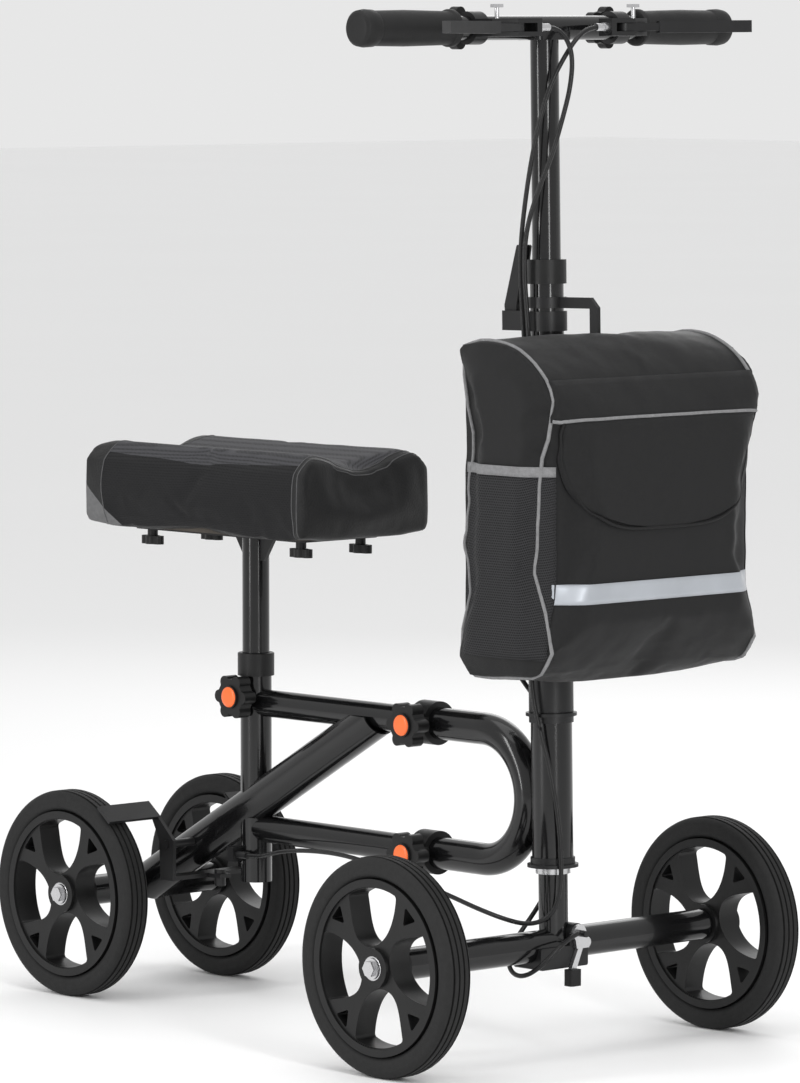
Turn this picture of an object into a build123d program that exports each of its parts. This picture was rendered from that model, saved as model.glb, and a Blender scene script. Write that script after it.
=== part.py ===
"""A steerable knee scooter: four wheels, a two-part frame, a folding steering column and a dished knee pad.

Millimetres. +X is forward, +Y is the rider's left, +Z is up, and the wheels stand on z = 0. The origin is at
the bottom centre of the whole object.
"""

import os
from math import cos, pi, radians, sin, tan

from build123d import *

# ---------------------------------------------------------------- driving sizes
# wheels and stance
wheel_radius = 100.0
tyre_width = 28.0
tyre_thickness = 20.0
wheelbase = 568.0
front_track = 420.0
rear_track = 196.0
hub_radius = 18.0
hub_width = 32.0
axle_bolt_radius = 5.0
bolt_washer = 1.0
bolt_head = 3.5

# tube stock
tube_radius = 15.0
inner_tube_radius = 13.0
tube_wall = 1.9
axle_tube_radius = 14.5
diagonal_radius = 19.0

# frame heights and places, measured forward from the rear axle
seat_post_reach = 158.0
upper_rail_height = 291.0
lower_rail_height = 169.5
seat_tube_bottom = 118.0
seat_tube_top = 334.0
seat_knob_height = 298.0
loop_start_reach = 397.0
loop_bite = 2.75
rail_insertion = 65.0
rail_clamp_reach = 404.0

# steering head and column, heights measured along the raked steering axis from the front axle
rake = 1.0
stem_radius = 13.5
head_tube_radius = 19.0
head_tube_bore = 16.5
head_low = 80.5
head_high = 204.5
cup_height = 9.5
column_radius = 15.25
fold_height = 285.0
fold_block_radius = 20.5
fold_pin_setback = 23.0
fold_pin_radius = 2.5
column_low = 291.0
column_high = 622.0
inner_tube_low = 420.0
handlebar_height = 837.0

# handlebar
bar_radius = 11.0
bar_half_length = 226.0
grip_radius = 16.5
grip_start = 115.0
grip_end = 232.0
perch_station = 90.0
lever_pivot_forward = 34.0
lever_pivot_station = 68.0
lever_tip_forward = 75.0
lever_tip_station = 190.0
lever_thickness = 7.0

# knee pad
pad_length = 317.0
pad_width = 170.0
pad_bottom = 457.0
pad_thickness = 78.0
pad_dish = 11.0
knob_spread_x = 214.0
knob_spread_y = 76.0

# bag
bag_width = 272.0
bag_depth = 130.0
bag_bottom = 354.0
bag_height = 313.0
bag_front_reach = 137.0
bag_front_shoulder = 588.0

# clearances
running = 0.05
sliding = 0.1
soft_gap = 0.4
knob_gap = 0.4

# ---------------------------------------------------------------- places worked out from the sizes
overall_length = wheel_radius + wheelbase + bag_front_reach
rear_axle_x = wheel_radius - overall_length / 2
front_axle_x = rear_axle_x + wheelbase
tyre_seat_radius = wheel_radius - tyre_thickness
seat_x = rear_axle_x + seat_post_reach
loop_start_x = rear_axle_x + loop_start_reach
rail_end_x = loop_start_x + rail_insertion
rail_clamp_x = rear_axle_x + rail_clamp_reach
loop_bend_radius = (upper_rail_height - lower_rail_height) / 2
loop_bend_x = front_axle_x - head_tube_radius + loop_bite - tube_radius - loop_bend_radius
loop_mid_height = (upper_rail_height + lower_rail_height) / 2
rail_radius = inner_tube_radius
loop_bore = rail_radius + sliding

steering_direction = (-sin(radians(rake)), 0, cos(radians(rake)))
forward_of_column = (cos(radians(rake)), 0, sin(radians(rake)))
steering = Plane(origin=(front_axle_x, 0, wheel_radius), x_dir=forward_of_column, z_dir=steering_direction)
# The side plane of the column: its x runs forward, its y up the steering axis, its normal to the right.
column_side = Plane(origin=(front_axle_x, 0, wheel_radius), x_dir=forward_of_column, z_dir=(0, -1, 0))
# The front plane of the column: its x runs to the left, its y up the steering axis, its normal forward.
column_front = Plane(origin=(front_axle_x, 0, wheel_radius), x_dir=(0, 1, 0), z_dir=forward_of_column)
side = Plane.XZ

pieces = {}


def tube(place, length, outer, bore):
    """A straight tube standing on a plane; a bore of 0 leaves it solid."""
    with BuildPart() as piece:
        with BuildSketch(place):
            Circle(outer)
            if bore:
                Circle(bore, mode=Mode.SUBTRACT)
        extrude(amount=length)
    return piece


def along_y(x, z, start):
    """A plane across the Y axis, facing +Y, at a point of the side view."""
    return Plane(origin=(x, start, z), x_dir=(1, 0, 0), z_dir=(0, 1, 0))


def on_axis(forward, left, up):
    """The world place of a point given by its distances from the column's own axis and the front axle."""
    place = steering.from_local_coords(Vector(forward, left, up))
    return (place.X, place.Y, place.Z)


# ---------------------------------------------------------------- rear frame
diagonal_angle = 29.7
diagonal_start = (rear_axle_x, 0, wheel_radius + 2)
diagonal_direction = (cos(radians(diagonal_angle)), 0, sin(radians(diagonal_angle)))
diagonal_line = Plane(origin=diagonal_start, x_dir=(0, 1, 0), z_dir=diagonal_direction)
diagonal_length = (upper_rail_height - diagonal_start[2]) / sin(radians(diagonal_angle))
brake_pivot_reach = 86.0
brake_pivot_x = rear_axle_x + brake_pivot_reach
brake_pivot_z = diagonal_start[2] + brake_pivot_reach * tan(radians(diagonal_angle))
brake_pivot_radius = 4.0
brake_arm_station = 50.0
brake_arm_thickness = 4.0

seat_tube_bore = inner_tube_radius + sliding
seat_boss_end = tube_radius + 4.0
seat_boss_radius = 10.0
knob_shank_radius = 4.0
with BuildPart() as seat_tube:
    with BuildSketch(Plane.XY.offset(seat_tube_bottom)):
        with Locations((seat_x, 0)):
            Circle(tube_radius)
    extrude(amount=seat_tube_top - seat_tube_bottom)
    # the boss that the seat knob screws into
    with BuildSketch(along_y(seat_x, seat_knob_height, -seat_boss_end)):
        Circle(seat_boss_radius)
    extrude(amount=seat_boss_end)
    with BuildSketch(Plane.XY.offset(seat_tube_bottom)):
        with Locations((seat_x, 0)):
            Circle(seat_tube_bore)
    extrude(amount=seat_tube_top - seat_tube_bottom, mode=Mode.SUBTRACT)
    with BuildSketch(along_y(seat_x, seat_knob_height, -seat_boss_end)):
        Circle(knob_shank_radius + running)
    extrude(amount=seat_boss_end - tube_radius, mode=Mode.SUBTRACT)
pieces["seat_tube"] = seat_tube


def rail(height):
    """One straight rail, from the seat tube's face into the front loop."""
    with BuildPart() as piece:
        with BuildSketch(Plane.YZ.offset(seat_x)):
            with Locations((0, height)):
                Circle(rail_radius)
                Circle(rail_radius - tube_wall, mode=Mode.SUBTRACT)
        extrude(amount=rail_end_x - seat_x)
        with BuildSketch(Plane.XY.offset(height - 2 * tube_radius)):
            with Locations((seat_x, 0)):
                Circle(tube_radius)
        extrude(amount=4 * tube_radius, mode=Mode.SUBTRACT)
        with BuildSketch(along_y(seat_x, seat_knob_height, -seat_boss_end)):
            Circle(seat_boss_radius)
        extrude(amount=seat_boss_end, mode=Mode.SUBTRACT)
    return piece


pieces["upper_rail"] = rail(upper_rail_height)
pieces["lower_rail"] = rail(lower_rail_height)

with BuildPart() as diagonal_tube:
    with BuildSketch(diagonal_line):
        Circle(diagonal_radius)
        Circle(diagonal_radius - 2, mode=Mode.SUBTRACT)
    extrude(amount=diagonal_length)
    # the axle tube, the seat tube and the upper rail pass through or cap it, and so does the brake pivot
    with BuildSketch(along_y(rear_axle_x, wheel_radius, -2 * diagonal_radius)):
        Circle(axle_tube_radius)
    extrude(amount=4 * diagonal_radius, mode=Mode.SUBTRACT)
    with BuildSketch(Plane.XY.offset(seat_tube_bottom)):
        with Locations((seat_x, 0)):
            Circle(tube_radius)
    extrude(amount=seat_tube_top - seat_tube_bottom, mode=Mode.SUBTRACT)
    with BuildSketch(Plane.YZ.offset(seat_x)):
        with Locations((0, upper_rail_height), (0, lower_rail_height)):
            Circle(rail_radius)
    extrude(amount=2 * diagonal_length, mode=Mode.SUBTRACT)
    with BuildSketch(along_y(brake_pivot_x, brake_pivot_z, -2 * diagonal_radius)):
        Circle(brake_pivot_radius)
    extrude(amount=4 * diagonal_radius, mode=Mode.SUBTRACT)
    with BuildSketch(Plane.XY.offset(upper_rail_height)):
        Rectangle(4 * overall_length, 4 * diagonal_radius)
    extrude(amount=4 * diagonal_radius, mode=Mode.SUBTRACT)
    with BuildSketch(Plane.YZ.offset(rear_axle_x)):
        Rectangle(8 * diagonal_radius, 2 * overall_length)
    extrude(amount=-4 * diagonal_radius, mode=Mode.SUBTRACT)
pieces["diagonal_tube"] = diagonal_tube

rear_axle_half = rear_track / 2 - hub_width / 2 - 1
pieces["rear_axle_tube"] = tube(
    along_y(rear_axle_x, wheel_radius, -rear_axle_half), 2 * rear_axle_half, axle_tube_radius, axle_bolt_radius
)

collar_radius = 17.6
collar_drop = 17.0
collar_height = 22.0

with BuildPart() as seat_collar:
    with BuildSketch(Plane.XY.offset(seat_tube_top - collar_drop)):
        with Locations((seat_x, 0)):
            Circle(collar_radius)
            Circle(seat_tube_bore, mode=Mode.SUBTRACT)
    extrude(amount=collar_height)
    fillet(seat_collar.edges().filter_by(GeomType.CIRCLE).group_by(Axis.Z)[-1], 1.2)
    with BuildSketch(Plane.XY.offset(seat_tube_top - collar_drop)):
        with Locations((seat_x, 0)):
            Circle(tube_radius)
    extrude(amount=collar_drop, mode=Mode.SUBTRACT)
pieces["seat_collar"] = seat_collar

pieces["brake_pivot"] = tube(
    along_y(brake_pivot_x, brake_pivot_z, -brake_arm_station - brake_arm_thickness),
    2 * (brake_arm_station + brake_arm_thickness),
    brake_pivot_radius,
    0,
)

# the bracket beside the seat tube's foot where the rear brake cable's housing stops, with its barrel adjuster
cable_radius = 2.2
cable_stop_height = 145.0
cable_stop_station = -20.0
cable_stop_block = 9.0
cable_barrel_length = 14.0
with BuildPart() as cable_stop:
    with BuildSketch(along_y(seat_x - cable_stop_block, cable_stop_height, cable_stop_station - 6)):
        Rectangle(cable_stop_block, 14)
    extrude(amount=18)
    with BuildSketch(Plane.XY.offset(seat_tube_bottom)):
        with Locations((seat_x, 0)):
            Circle(tube_radius)
    extrude(amount=seat_tube_top - seat_tube_bottom, mode=Mode.SUBTRACT)
    with BuildSketch(Plane.YZ.offset(seat_x - cable_stop_block)):
        with Locations((cable_stop_station, cable_stop_height)):
            Circle(cable_radius + 1.4)
    extrude(amount=cable_barrel_length + cable_stop_block / 2)
    with BuildSketch(Plane.YZ.offset(seat_x - cable_stop_block)):
        with Locations((cable_stop_station, cable_stop_height)):
            Circle(cable_radius + running)
    extrude(amount=cable_barrel_length + cable_stop_block / 2, mode=Mode.SUBTRACT)
    with BuildSketch(Plane.XY.offset(seat_tube_bottom)):
        with Locations((seat_x, 0)):
            Circle(tube_radius)
    extrude(amount=seat_tube_top - seat_tube_bottom, mode=Mode.SUBTRACT)
pieces["cable_stop"] = cable_stop


def axle_bolts(axle_x, track, tube_half):
    """The pair of wheel bolts of one axle: shank, washer and domed head outside each hub."""
    shank = track / 2 + hub_width / 2 + 1 - (tube_half - 30)
    with BuildPart() as piece:
        for turn in (1, -1):
            face = Plane(origin=(axle_x, turn * (tube_half - 30), wheel_radius), x_dir=(1, 0, 0), z_dir=(0, turn, 0))
            with BuildSketch(face):
                Circle(axle_bolt_radius)
            extrude(amount=shank)
            with BuildSketch(face.offset(shank)):
                Circle(9.5)
            extrude(amount=bolt_washer)
            with BuildSketch(face.offset(shank + bolt_washer)):
                RegularPolygon(7.5, 6)
            extrude(amount=bolt_head)
    return piece


pieces["rear_axle_bolts"] = axle_bolts(rear_axle_x, rear_track, rear_axle_half)

# ---------------------------------------------------------------- wheels
tread_grooves = 4
groove_depth = 1.6
groove_width = 2.0
shoulder_radius = 7.0
spoke_width = 24.0
rim_band = 8.0
window_outer_radius = tyre_seat_radius - rim_band
window_pairs = 4
window_turn = 94.0
small_window_turn = 45.0


def tyre(axle_x, centre_y):
    """A solid tyre with rounded shoulders and grooves round its tread."""
    half = tyre_width / 2
    with BuildPart() as piece:
        with BuildSketch(Plane(origin=(axle_x, centre_y, wheel_radius), x_dir=(0, 1, 0), z_dir=(1, 0, 0))) as section:
            with Locations((0, (wheel_radius + tyre_seat_radius) / 2)):
                Rectangle(tyre_width, wheel_radius - tyre_seat_radius)
            fillet(section.vertices().group_by(Axis.Z)[-1], shoulder_radius)
            pitch = (tyre_width - 2 * shoulder_radius + 4) / (tread_grooves - 1)
            for number in range(tread_grooves):
                across = (number - (tread_grooves - 1) / 2) * pitch
                depth = groove_depth if abs(across) < half - shoulder_radius else groove_depth + 0.5
                with Locations((across, wheel_radius)):
                    Rectangle(groove_width, 2 * depth, mode=Mode.SUBTRACT)
        revolve(axis=Axis((axle_x, centre_y, wheel_radius), (0, 1, 0)))
    return piece


# The outlines of the two kinds of window, as shares of the windows' outer radius: along the spoke, then across.
large_window = ((0.9, 0.436), (0.61, 0.355), (0.35, 0.16), (0.262, -0.11), (0.33, -0.275), (0.61, -0.395), (0.9, -0.436))
small_window = ((0.97, 0.12), (0.97, -0.13), (0.76, 0.0))
window_fillet = 4.0
small_window_fillet = 1.5


def wheel_face(axle_x, centre_y, turn):
    """The spokes' near face, with its x along the radius at this angle above forward."""
    return Plane(
        origin=(axle_x, centre_y - spoke_width / 2, wheel_radius),
        x_dir=(cos(radians(turn)), 0, sin(radians(turn))),
        z_dir=(0, 1, 0),
    )


def wheel_rim(axle_x, centre_y):
    """A one-piece moulded rim: hub, band and spokes left between four teardrop and four small windows."""
    face = wheel_face(axle_x, centre_y, 0)
    reach = window_outer_radius
    with BuildPart() as piece:
        with BuildSketch(face):
            Circle(tyre_seat_radius - 2)
        extrude(amount=spoke_width)
        with BuildSketch(face.offset((spoke_width - tyre_width) / 2)):
            Circle(tyre_seat_radius)
            Circle(window_outer_radius + 1, mode=Mode.SUBTRACT)
        extrude(amount=tyre_width)
        with BuildSketch(face.offset((spoke_width - hub_width) / 2)):
            Circle(hub_radius)
        extrude(amount=hub_width)
        for number in range(window_pairs):
            turn = window_turn + number * 360 / window_pairs
            with BuildSketch(wheel_face(axle_x, centre_y, turn)) as large:
                with BuildLine():
                    Spline(*[(along * reach, across * reach) for along, across in large_window])
                    ThreePointArc(
                        (large_window[-1][0] * reach, large_window[-1][1] * reach),
                        (reach, 0),
                        (large_window[0][0] * reach, large_window[0][1] * reach),
                    )
                make_face()
                fillet(large.vertices(), window_fillet)
            extrude(amount=spoke_width, mode=Mode.SUBTRACT)
            with BuildSketch(wheel_face(axle_x, centre_y, turn + small_window_turn)) as small:
                with BuildLine():
                    Polyline(*[(along * reach, across * reach) for along, across in small_window], close=True)
                make_face()
                fillet(small.vertices(), small_window_fillet)
            extrude(amount=spoke_width, mode=Mode.SUBTRACT)
        with BuildSketch(face.offset((spoke_width - hub_width) / 2)):
            Circle(axle_bolt_radius + running)
        extrude(amount=hub_width, mode=Mode.SUBTRACT)
    return piece


wheels = {
    "rear_right": (rear_axle_x, -rear_track / 2),
    "rear_left": (rear_axle_x, rear_track / 2),
    "front_right": (front_axle_x, -front_track / 2),
    "front_left": (front_axle_x, front_track / 2),
}
for corner, (axle_x, centre_y) in wheels.items():
    pieces[corner + "_tyre"] = tyre(axle_x, centre_y)
    pieces[corner + "_rim"] = wheel_rim(axle_x, centre_y)

# ---------------------------------------------------------------- front frame
with BuildPart() as frame_loop:
    with BuildLine() as loop_path:
        upper = Line((loop_start_x, 0, upper_rail_height), (loop_bend_x, 0, upper_rail_height))
        bend = ThreePointArc(
            (loop_bend_x, 0, upper_rail_height),
            (loop_bend_x + loop_bend_radius, 0, loop_mid_height),
            (loop_bend_x, 0, lower_rail_height),
        )
        lower = Line((loop_bend_x, 0, lower_rail_height), (loop_start_x, 0, lower_rail_height))
    with BuildSketch(Plane.YZ.offset(loop_start_x)):
        with Locations((0, upper_rail_height)):
            Circle(tube_radius)
            Circle(loop_bore, mode=Mode.SUBTRACT)
    sweep(path=loop_path.line)
    with BuildSketch(steering):
        Circle(head_tube_radius)
    extrude(amount=head_high + 2 * cup_height, mode=Mode.SUBTRACT)
pieces["frame_loop"] = frame_loop

pieces["head_tube"] = tube(steering.offset(head_low), head_high - head_low, head_tube_radius, head_tube_bore)

with BuildPart() as headset_cups:
    for face, step in ((head_high, 1), (head_low, -1)):
        with BuildSketch(steering.offset(face)):
            Circle(head_tube_radius + 1.5)
            Circle(stem_radius + 1, mode=Mode.SUBTRACT)
        extrude(amount=step * cup_height)
        with BuildSketch(steering.offset(face + step * (cup_height - 3.5))):
            Circle(head_tube_radius + 4.5)
            Circle(stem_radius + 1, mode=Mode.SUBTRACT)
        extrude(amount=step * 3)
pieces["headset_cups"] = headset_cups

bearing_height = 8.0
crown_top = head_low - cup_height - knob_gap
with BuildPart() as headset_bearings:
    for low in (head_low + 1, head_high - 1 - bearing_height):
        with BuildSketch(steering.offset(low)):
            Circle(head_tube_bore - running)
            Circle(stem_radius, mode=Mode.SUBTRACT)
        extrude(amount=bearing_height)
    # the crown race under the lower cup
    with BuildSketch(steering.offset(crown_top - 5)):
        Circle(stem_radius + 2.5)
        Circle(stem_radius, mode=Mode.SUBTRACT)
    extrude(amount=5)
pieces["headset_bearings"] = headset_bearings

clamp_radius = 20.5
clamp_width = 22.0
clamp_boss = 13.0
knob_radius = 22.0
knob_thickness = 14.0
knob_cap_height = 2.0

with BuildPart() as rail_clamps:
    for height in (upper_rail_height, lower_rail_height):
        with BuildSketch(Plane.YZ.offset(rail_clamp_x - clamp_width / 2)):
            with Locations((0, height)):
                Circle(clamp_radius)
        extrude(amount=clamp_width)
        with BuildSketch(along_y(rail_clamp_x, height, -clamp_radius - 2)):
            Circle(clamp_boss)
        extrude(amount=clamp_radius)
        with BuildSketch(Plane.YZ.offset(rail_clamp_x - clamp_width)):
            with Locations((0, height)):
                Circle(tube_radius)
        extrude(amount=2 * clamp_width, mode=Mode.SUBTRACT)
        with BuildSketch(along_y(rail_clamp_x, height, -2 * clamp_radius)):
            Circle(knob_shank_radius + running)
        extrude(amount=2 * clamp_radius - tube_radius, mode=Mode.SUBTRACT)
pieces["rail_clamps"] = rail_clamps

def star_knob(face, radius, thickness, shank_length, lobes=6):
    """A star knob whose plane faces outward from what it clamps, with its shank behind the plane."""
    with BuildPart() as piece:
        with BuildSketch(face) as outline:
            Circle(radius - 5)
            with PolarLocations(radius - 6, lobes):
                Circle(6)
            fillet(outline.vertices(), 1.5)
        extrude(amount=thickness)
        with BuildSketch(face.offset(thickness)):
            Circle(radius / 2)
        extrude(amount=knob_cap_height)
        with BuildSketch(face):
            Circle(knob_shank_radius)
        extrude(amount=-shank_length)
    return piece


def right_facing(x, start, z):
    """A plane across Y that faces the right-hand side."""
    return Plane(origin=(x, start, z), x_dir=(1, 0, 0), z_dir=(0, -1, 0))


clamp_knob_face = -clamp_radius - 2 - knob_gap
seat_knob_face = -seat_boss_end - knob_gap
rail_shank = clamp_radius + 2 + knob_gap - tube_radius - 0.3
seat_shank = seat_boss_end + knob_gap - tube_radius - 0.3
knobs = {
    "upper_rail_knob": (rail_clamp_x, clamp_knob_face, upper_rail_height, rail_shank),
    "lower_rail_knob": (rail_clamp_x, clamp_knob_face, lower_rail_height, rail_shank),
    "seat_knob": (seat_x, seat_knob_face, seat_knob_height, seat_shank),
}
for name, (x, start, height, shank_length) in knobs.items():
    pieces[name] = star_knob(right_facing(x, start, height), knob_radius, knob_thickness, shank_length)

# ---------------------------------------------------------------- fork and front axle
front_axle_half = front_track / 2 - hub_width / 2 - 1
with BuildPart() as front_axle_tube:
    with BuildSketch(along_y(front_axle_x, wheel_radius, -front_axle_half)):
        Circle(axle_tube_radius)
        Circle(axle_bolt_radius, mode=Mode.SUBTRACT)
    extrude(amount=2 * front_axle_half)
pieces["front_axle_tube"] = front_axle_tube
pieces["front_axle_bolts"] = axle_bolts(front_axle_x, front_track, front_axle_half)

stem_top = head_high + cup_height + 16
with BuildPart() as stem_tube:
    with BuildSketch(steering):
        Circle(stem_radius)
        Circle(stem_radius - 3, mode=Mode.SUBTRACT)
    extrude(amount=stem_top)
    with BuildSketch(along_y(front_axle_x, wheel_radius, -front_axle_half)):
        Circle(axle_tube_radius)
    extrude(amount=2 * front_axle_half, mode=Mode.SUBTRACT)
    with BuildSketch(steering):
        Circle(2 * axle_tube_radius)
    extrude(amount=-2 * axle_tube_radius, mode=Mode.SUBTRACT)
pieces["stem_tube"] = stem_tube

knuckle_radius = 6.0
knuckle_width = 16.0
ear_width = 6.5
fold_base_low = head_high + cup_height + 0.4
with BuildPart() as fold_base:
    with BuildSketch(steering.offset(fold_base_low)):
        Circle(fold_block_radius)
    extrude(amount=fold_height - fold_base_low)
    with BuildSketch(column_side.offset(-knuckle_width / 2 - 0.3 - ear_width)):
        with Locations((-fold_pin_setback, fold_height)):
            Circle(knuckle_radius)
        with Locations((-fold_pin_setback + 3, fold_height - 11)):
            Rectangle(2 * knuckle_radius + 6, 22)
    extrude(amount=knuckle_width + 0.6 + 2 * ear_width)
    with BuildSketch(column_side.offset(-knuckle_width / 2 - 0.3)):
        with Locations((-fold_pin_setback, fold_height)):
            Circle(knuckle_radius + 0.6)
    extrude(amount=knuckle_width + 0.6, mode=Mode.SUBTRACT)
    with BuildSketch(column_side.offset(-fold_block_radius)):
        with Locations((-fold_pin_setback, fold_height)):
            Circle(fold_pin_radius)
    extrude(amount=2 * fold_block_radius, mode=Mode.SUBTRACT)
    with BuildSketch(steering.offset(fold_height)):
        with Locations((0, 0)):
            Rectangle(2 * (fold_pin_setback - knuckle_radius) - 1, 3 * fold_block_radius)
    extrude(amount=2 * knuckle_radius, mode=Mode.SUBTRACT)
    with BuildSketch(steering.offset(fold_base_low)):
        Circle(stem_radius)
    extrude(amount=stem_top - fold_base_low, mode=Mode.SUBTRACT)
pieces["fold_base"] = fold_base

# the block under the axle tube, with the stud that the centre lever turns on
block_length = 60.0
block_low = 80.0
stud_station = 12.0
stud_height = 111.0
stud_radius = 3.0
block_front = front_axle_x + axle_tube_radius + 3.5
with BuildPart() as axle_block:
    with BuildSketch(Plane.YZ.offset(front_axle_x - axle_tube_radius - 3)):
        with Locations((-3.5, (block_low + wheel_radius) / 2)):
            RectangleRounded(block_length, wheel_radius - block_low, 2)
    extrude(amount=2 * axle_tube_radius + 6.5)
    with BuildSketch(Plane.YZ.offset(front_axle_x + 4)):
        with Locations((stud_station, stud_height)):
            Circle(9)
        with Locations((stud_station, (stud_height + wheel_radius - 6) / 2)):
            Rectangle(18, stud_height - wheel_radius + 6)
    extrude(amount=axle_tube_radius - 0.5)
    with BuildSketch(Plane.YZ.offset(block_front - 1)):
        with Locations((stud_station, stud_height)):
            Circle(stud_radius)
    extrude(amount=14)
    with BuildSketch(along_y(front_axle_x, wheel_radius, -block_length)):
        Circle(axle_tube_radius)
    extrude(amount=2 * block_length, mode=Mode.SUBTRACT)
    with BuildSketch(steering):
        Circle(stem_radius)
    extrude(amount=4 * stem_radius, mode=Mode.SUBTRACT)
pieces["axle_block"] = axle_block

lever_plate_start = block_front + 0.4
with BuildPart() as centre_lever:
    with BuildSketch(Plane.YZ.offset(lever_plate_start)):
        with Locations((stud_station, stud_height)):
            Circle(8)
        with Locations((stud_station + 9, stud_height - 9)):
            Circle(5)
        with BuildLine():
            Polyline(
                (stud_station - 6, stud_height - 4),
                (stud_station + 6, stud_height - 4),
                (stud_station + 12, stud_height - 14),
                (stud_station - 4, stud_height - 14),
                close=True,
            )
        make_face()
        with Locations((stud_station, stud_height)):
            Circle(stud_radius + running, mode=Mode.SUBTRACT)
    extrude(amount=4)
    with BuildSketch(Plane.YZ.offset(lever_plate_start)):
        with BuildLine():
            Polyline(
                (stud_station - 2, stud_height - 13),
                (stud_station + 4, stud_height - 13),
                (stud_station - 6, stud_height - 36),
                (stud_station - 13, stud_height - 36),
                close=True,
            )
        make_face()
    extrude(amount=4)
pieces["centre_lever"] = centre_lever

tip_height = 15.0
with BuildPart() as lever_tip:
    with BuildSketch(Plane.XY.offset(stud_height - 32 - tip_height)):
        with Locations((lever_plate_start + 5.6, stud_station - 11)):
            RectangleRounded(11, 14, 3)
    extrude(amount=tip_height)
    with BuildSketch(Plane.YZ.offset(lever_plate_start)):
        with BuildLine():
            Polyline(
                (stud_station - 2, stud_height - 13),
                (stud_station + 4, stud_height - 13),
                (stud_station - 6, stud_height - 36),
                (stud_station - 13, stud_height - 36),
                close=True,
            )
        make_face()
    extrude(amount=4, mode=Mode.SUBTRACT)
pieces["lever_tip"] = lever_tip

# ---------------------------------------------------------------- column
hinge_high = 322.0
latch_pivot_height = 309.0
latch_station = fold_block_radius + 3.5
latch_pin_radius = 1.5
with BuildPart() as fold_hinge:
    with BuildSketch(steering.offset(fold_height + 0.4)):
        Circle(fold_block_radius)
    extrude(amount=hinge_high - fold_height - 0.4)
    with BuildSketch(column_side.offset(-knuckle_width / 2)):
        with Locations((-fold_pin_setback, fold_height)):
            Circle(knuckle_radius)
        with Locations((-fold_pin_setback + 4, fold_height + knuckle_radius)):
            Rectangle(8, 2 * knuckle_radius)
    extrude(amount=knuckle_width)
    for turn in (1, -1):
        with BuildSketch(column_side.offset(turn * (knuckle_width / 2))):
            with Locations((-fold_pin_setback, fold_height)):
                Circle(knuckle_radius + 0.6)
        extrude(amount=turn * fold_block_radius, mode=Mode.SUBTRACT)
    with BuildSketch(column_side.offset(-fold_block_radius)):
        with Locations((-fold_pin_setback, fold_height)):
            Circle(fold_pin_radius + running)
    extrude(amount=2 * fold_block_radius, mode=Mode.SUBTRACT)
    # the lugs and pin that carry the latch
    for low in (-9.6, 6.6):
        with BuildSketch(column_front.offset(low)):
            with Locations((latch_station - 3, latch_pivot_height)):
                Rectangle(10, 8)
        extrude(amount=3)
    with BuildSketch(column_front.offset(-9.6)):
        with Locations((latch_station, latch_pivot_height)):
            Circle(latch_pin_radius)
    extrude(amount=19.2)
    with BuildSketch(steering.offset(column_low)):
        Circle(column_radius)
    extrude(amount=hinge_high, mode=Mode.SUBTRACT)
pieces["fold_hinge"] = fold_hinge

pin_half = knuckle_width / 2 + 0.3 + ear_width
with BuildPart() as fold_pin:
    with BuildSketch(column_side.offset(-pin_half - 1)):
        with Locations((-fold_pin_setback, fold_height)):
            Circle(fold_pin_radius)
    extrude(amount=2 * pin_half + 2)
pieces["fold_pin"] = fold_pin

column_bore = inner_tube_radius + sliding
pieces["column_tube"] = tube(steering.offset(column_low), column_high - column_low, column_radius, column_bore)

column_collar_low = column_high - collar_drop
with BuildPart() as column_collar:
    with BuildSketch(steering.offset(column_collar_low)):
        Circle(collar_radius + 0.4)
        Circle(column_bore, mode=Mode.SUBTRACT)
    extrude(amount=collar_height)
    with BuildSketch(steering.offset(column_collar_low)):
        Circle(column_radius)
    extrude(amount=collar_drop, mode=Mode.SUBTRACT)
pieces["column_collar"] = column_collar

# the latch on the left of the fold joint
with BuildPart() as fold_latch:
    with BuildSketch(column_front.offset(-6)) as latch_outline:
        with Locations((latch_station, latch_pivot_height)):
            Circle(3.2)
        with Locations((latch_station + 1, (latch_pivot_height + fold_height - 24) / 2)):
            Rectangle(4, latch_pivot_height - fold_height + 24)
        with Locations((latch_station + 4, fold_height - 22)):
            Rectangle(10, 4)
    extrude(amount=12)
    with BuildSketch(column_front.offset(-10)):
        with Locations((latch_station, latch_pivot_height)):
            Circle(latch_pin_radius + running)
    extrude(amount=20, mode=Mode.SUBTRACT)
pieces["fold_latch"] = fold_latch

# the height clamp round the column, with the ears of its quick-release lever behind it
clamp_low = 562.0
clamp_high = 580.0
clamp_ring = column_radius + 3
ear_reach = 50.0
ears_width = 18.0
lever_pivot_back = -43.0
lever_pivot_up = 571.0
lever_pin_radius = 2.0
quick_lever_width = 10.0
quick_lever_top = 640.0
with BuildPart() as height_clamp:
    with BuildSketch(steering.offset(clamp_low)):
        Circle(clamp_ring)
        with Locations((-ear_reach / 2, 0)):
            Rectangle(ear_reach, ears_width)
        Circle(column_radius, mode=Mode.SUBTRACT)
        with Locations((-ear_reach, 0)):
            Rectangle(ear_reach, quick_lever_width + 0.6, mode=Mode.SUBTRACT)
    extrude(amount=clamp_high - clamp_low)
    with BuildSketch(column_side.offset(-ears_width / 2)):
        with Locations((lever_pivot_back, lever_pivot_up)):
            Circle(lever_pin_radius)
    extrude(amount=ears_width)
pieces["height_clamp"] = height_clamp

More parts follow.
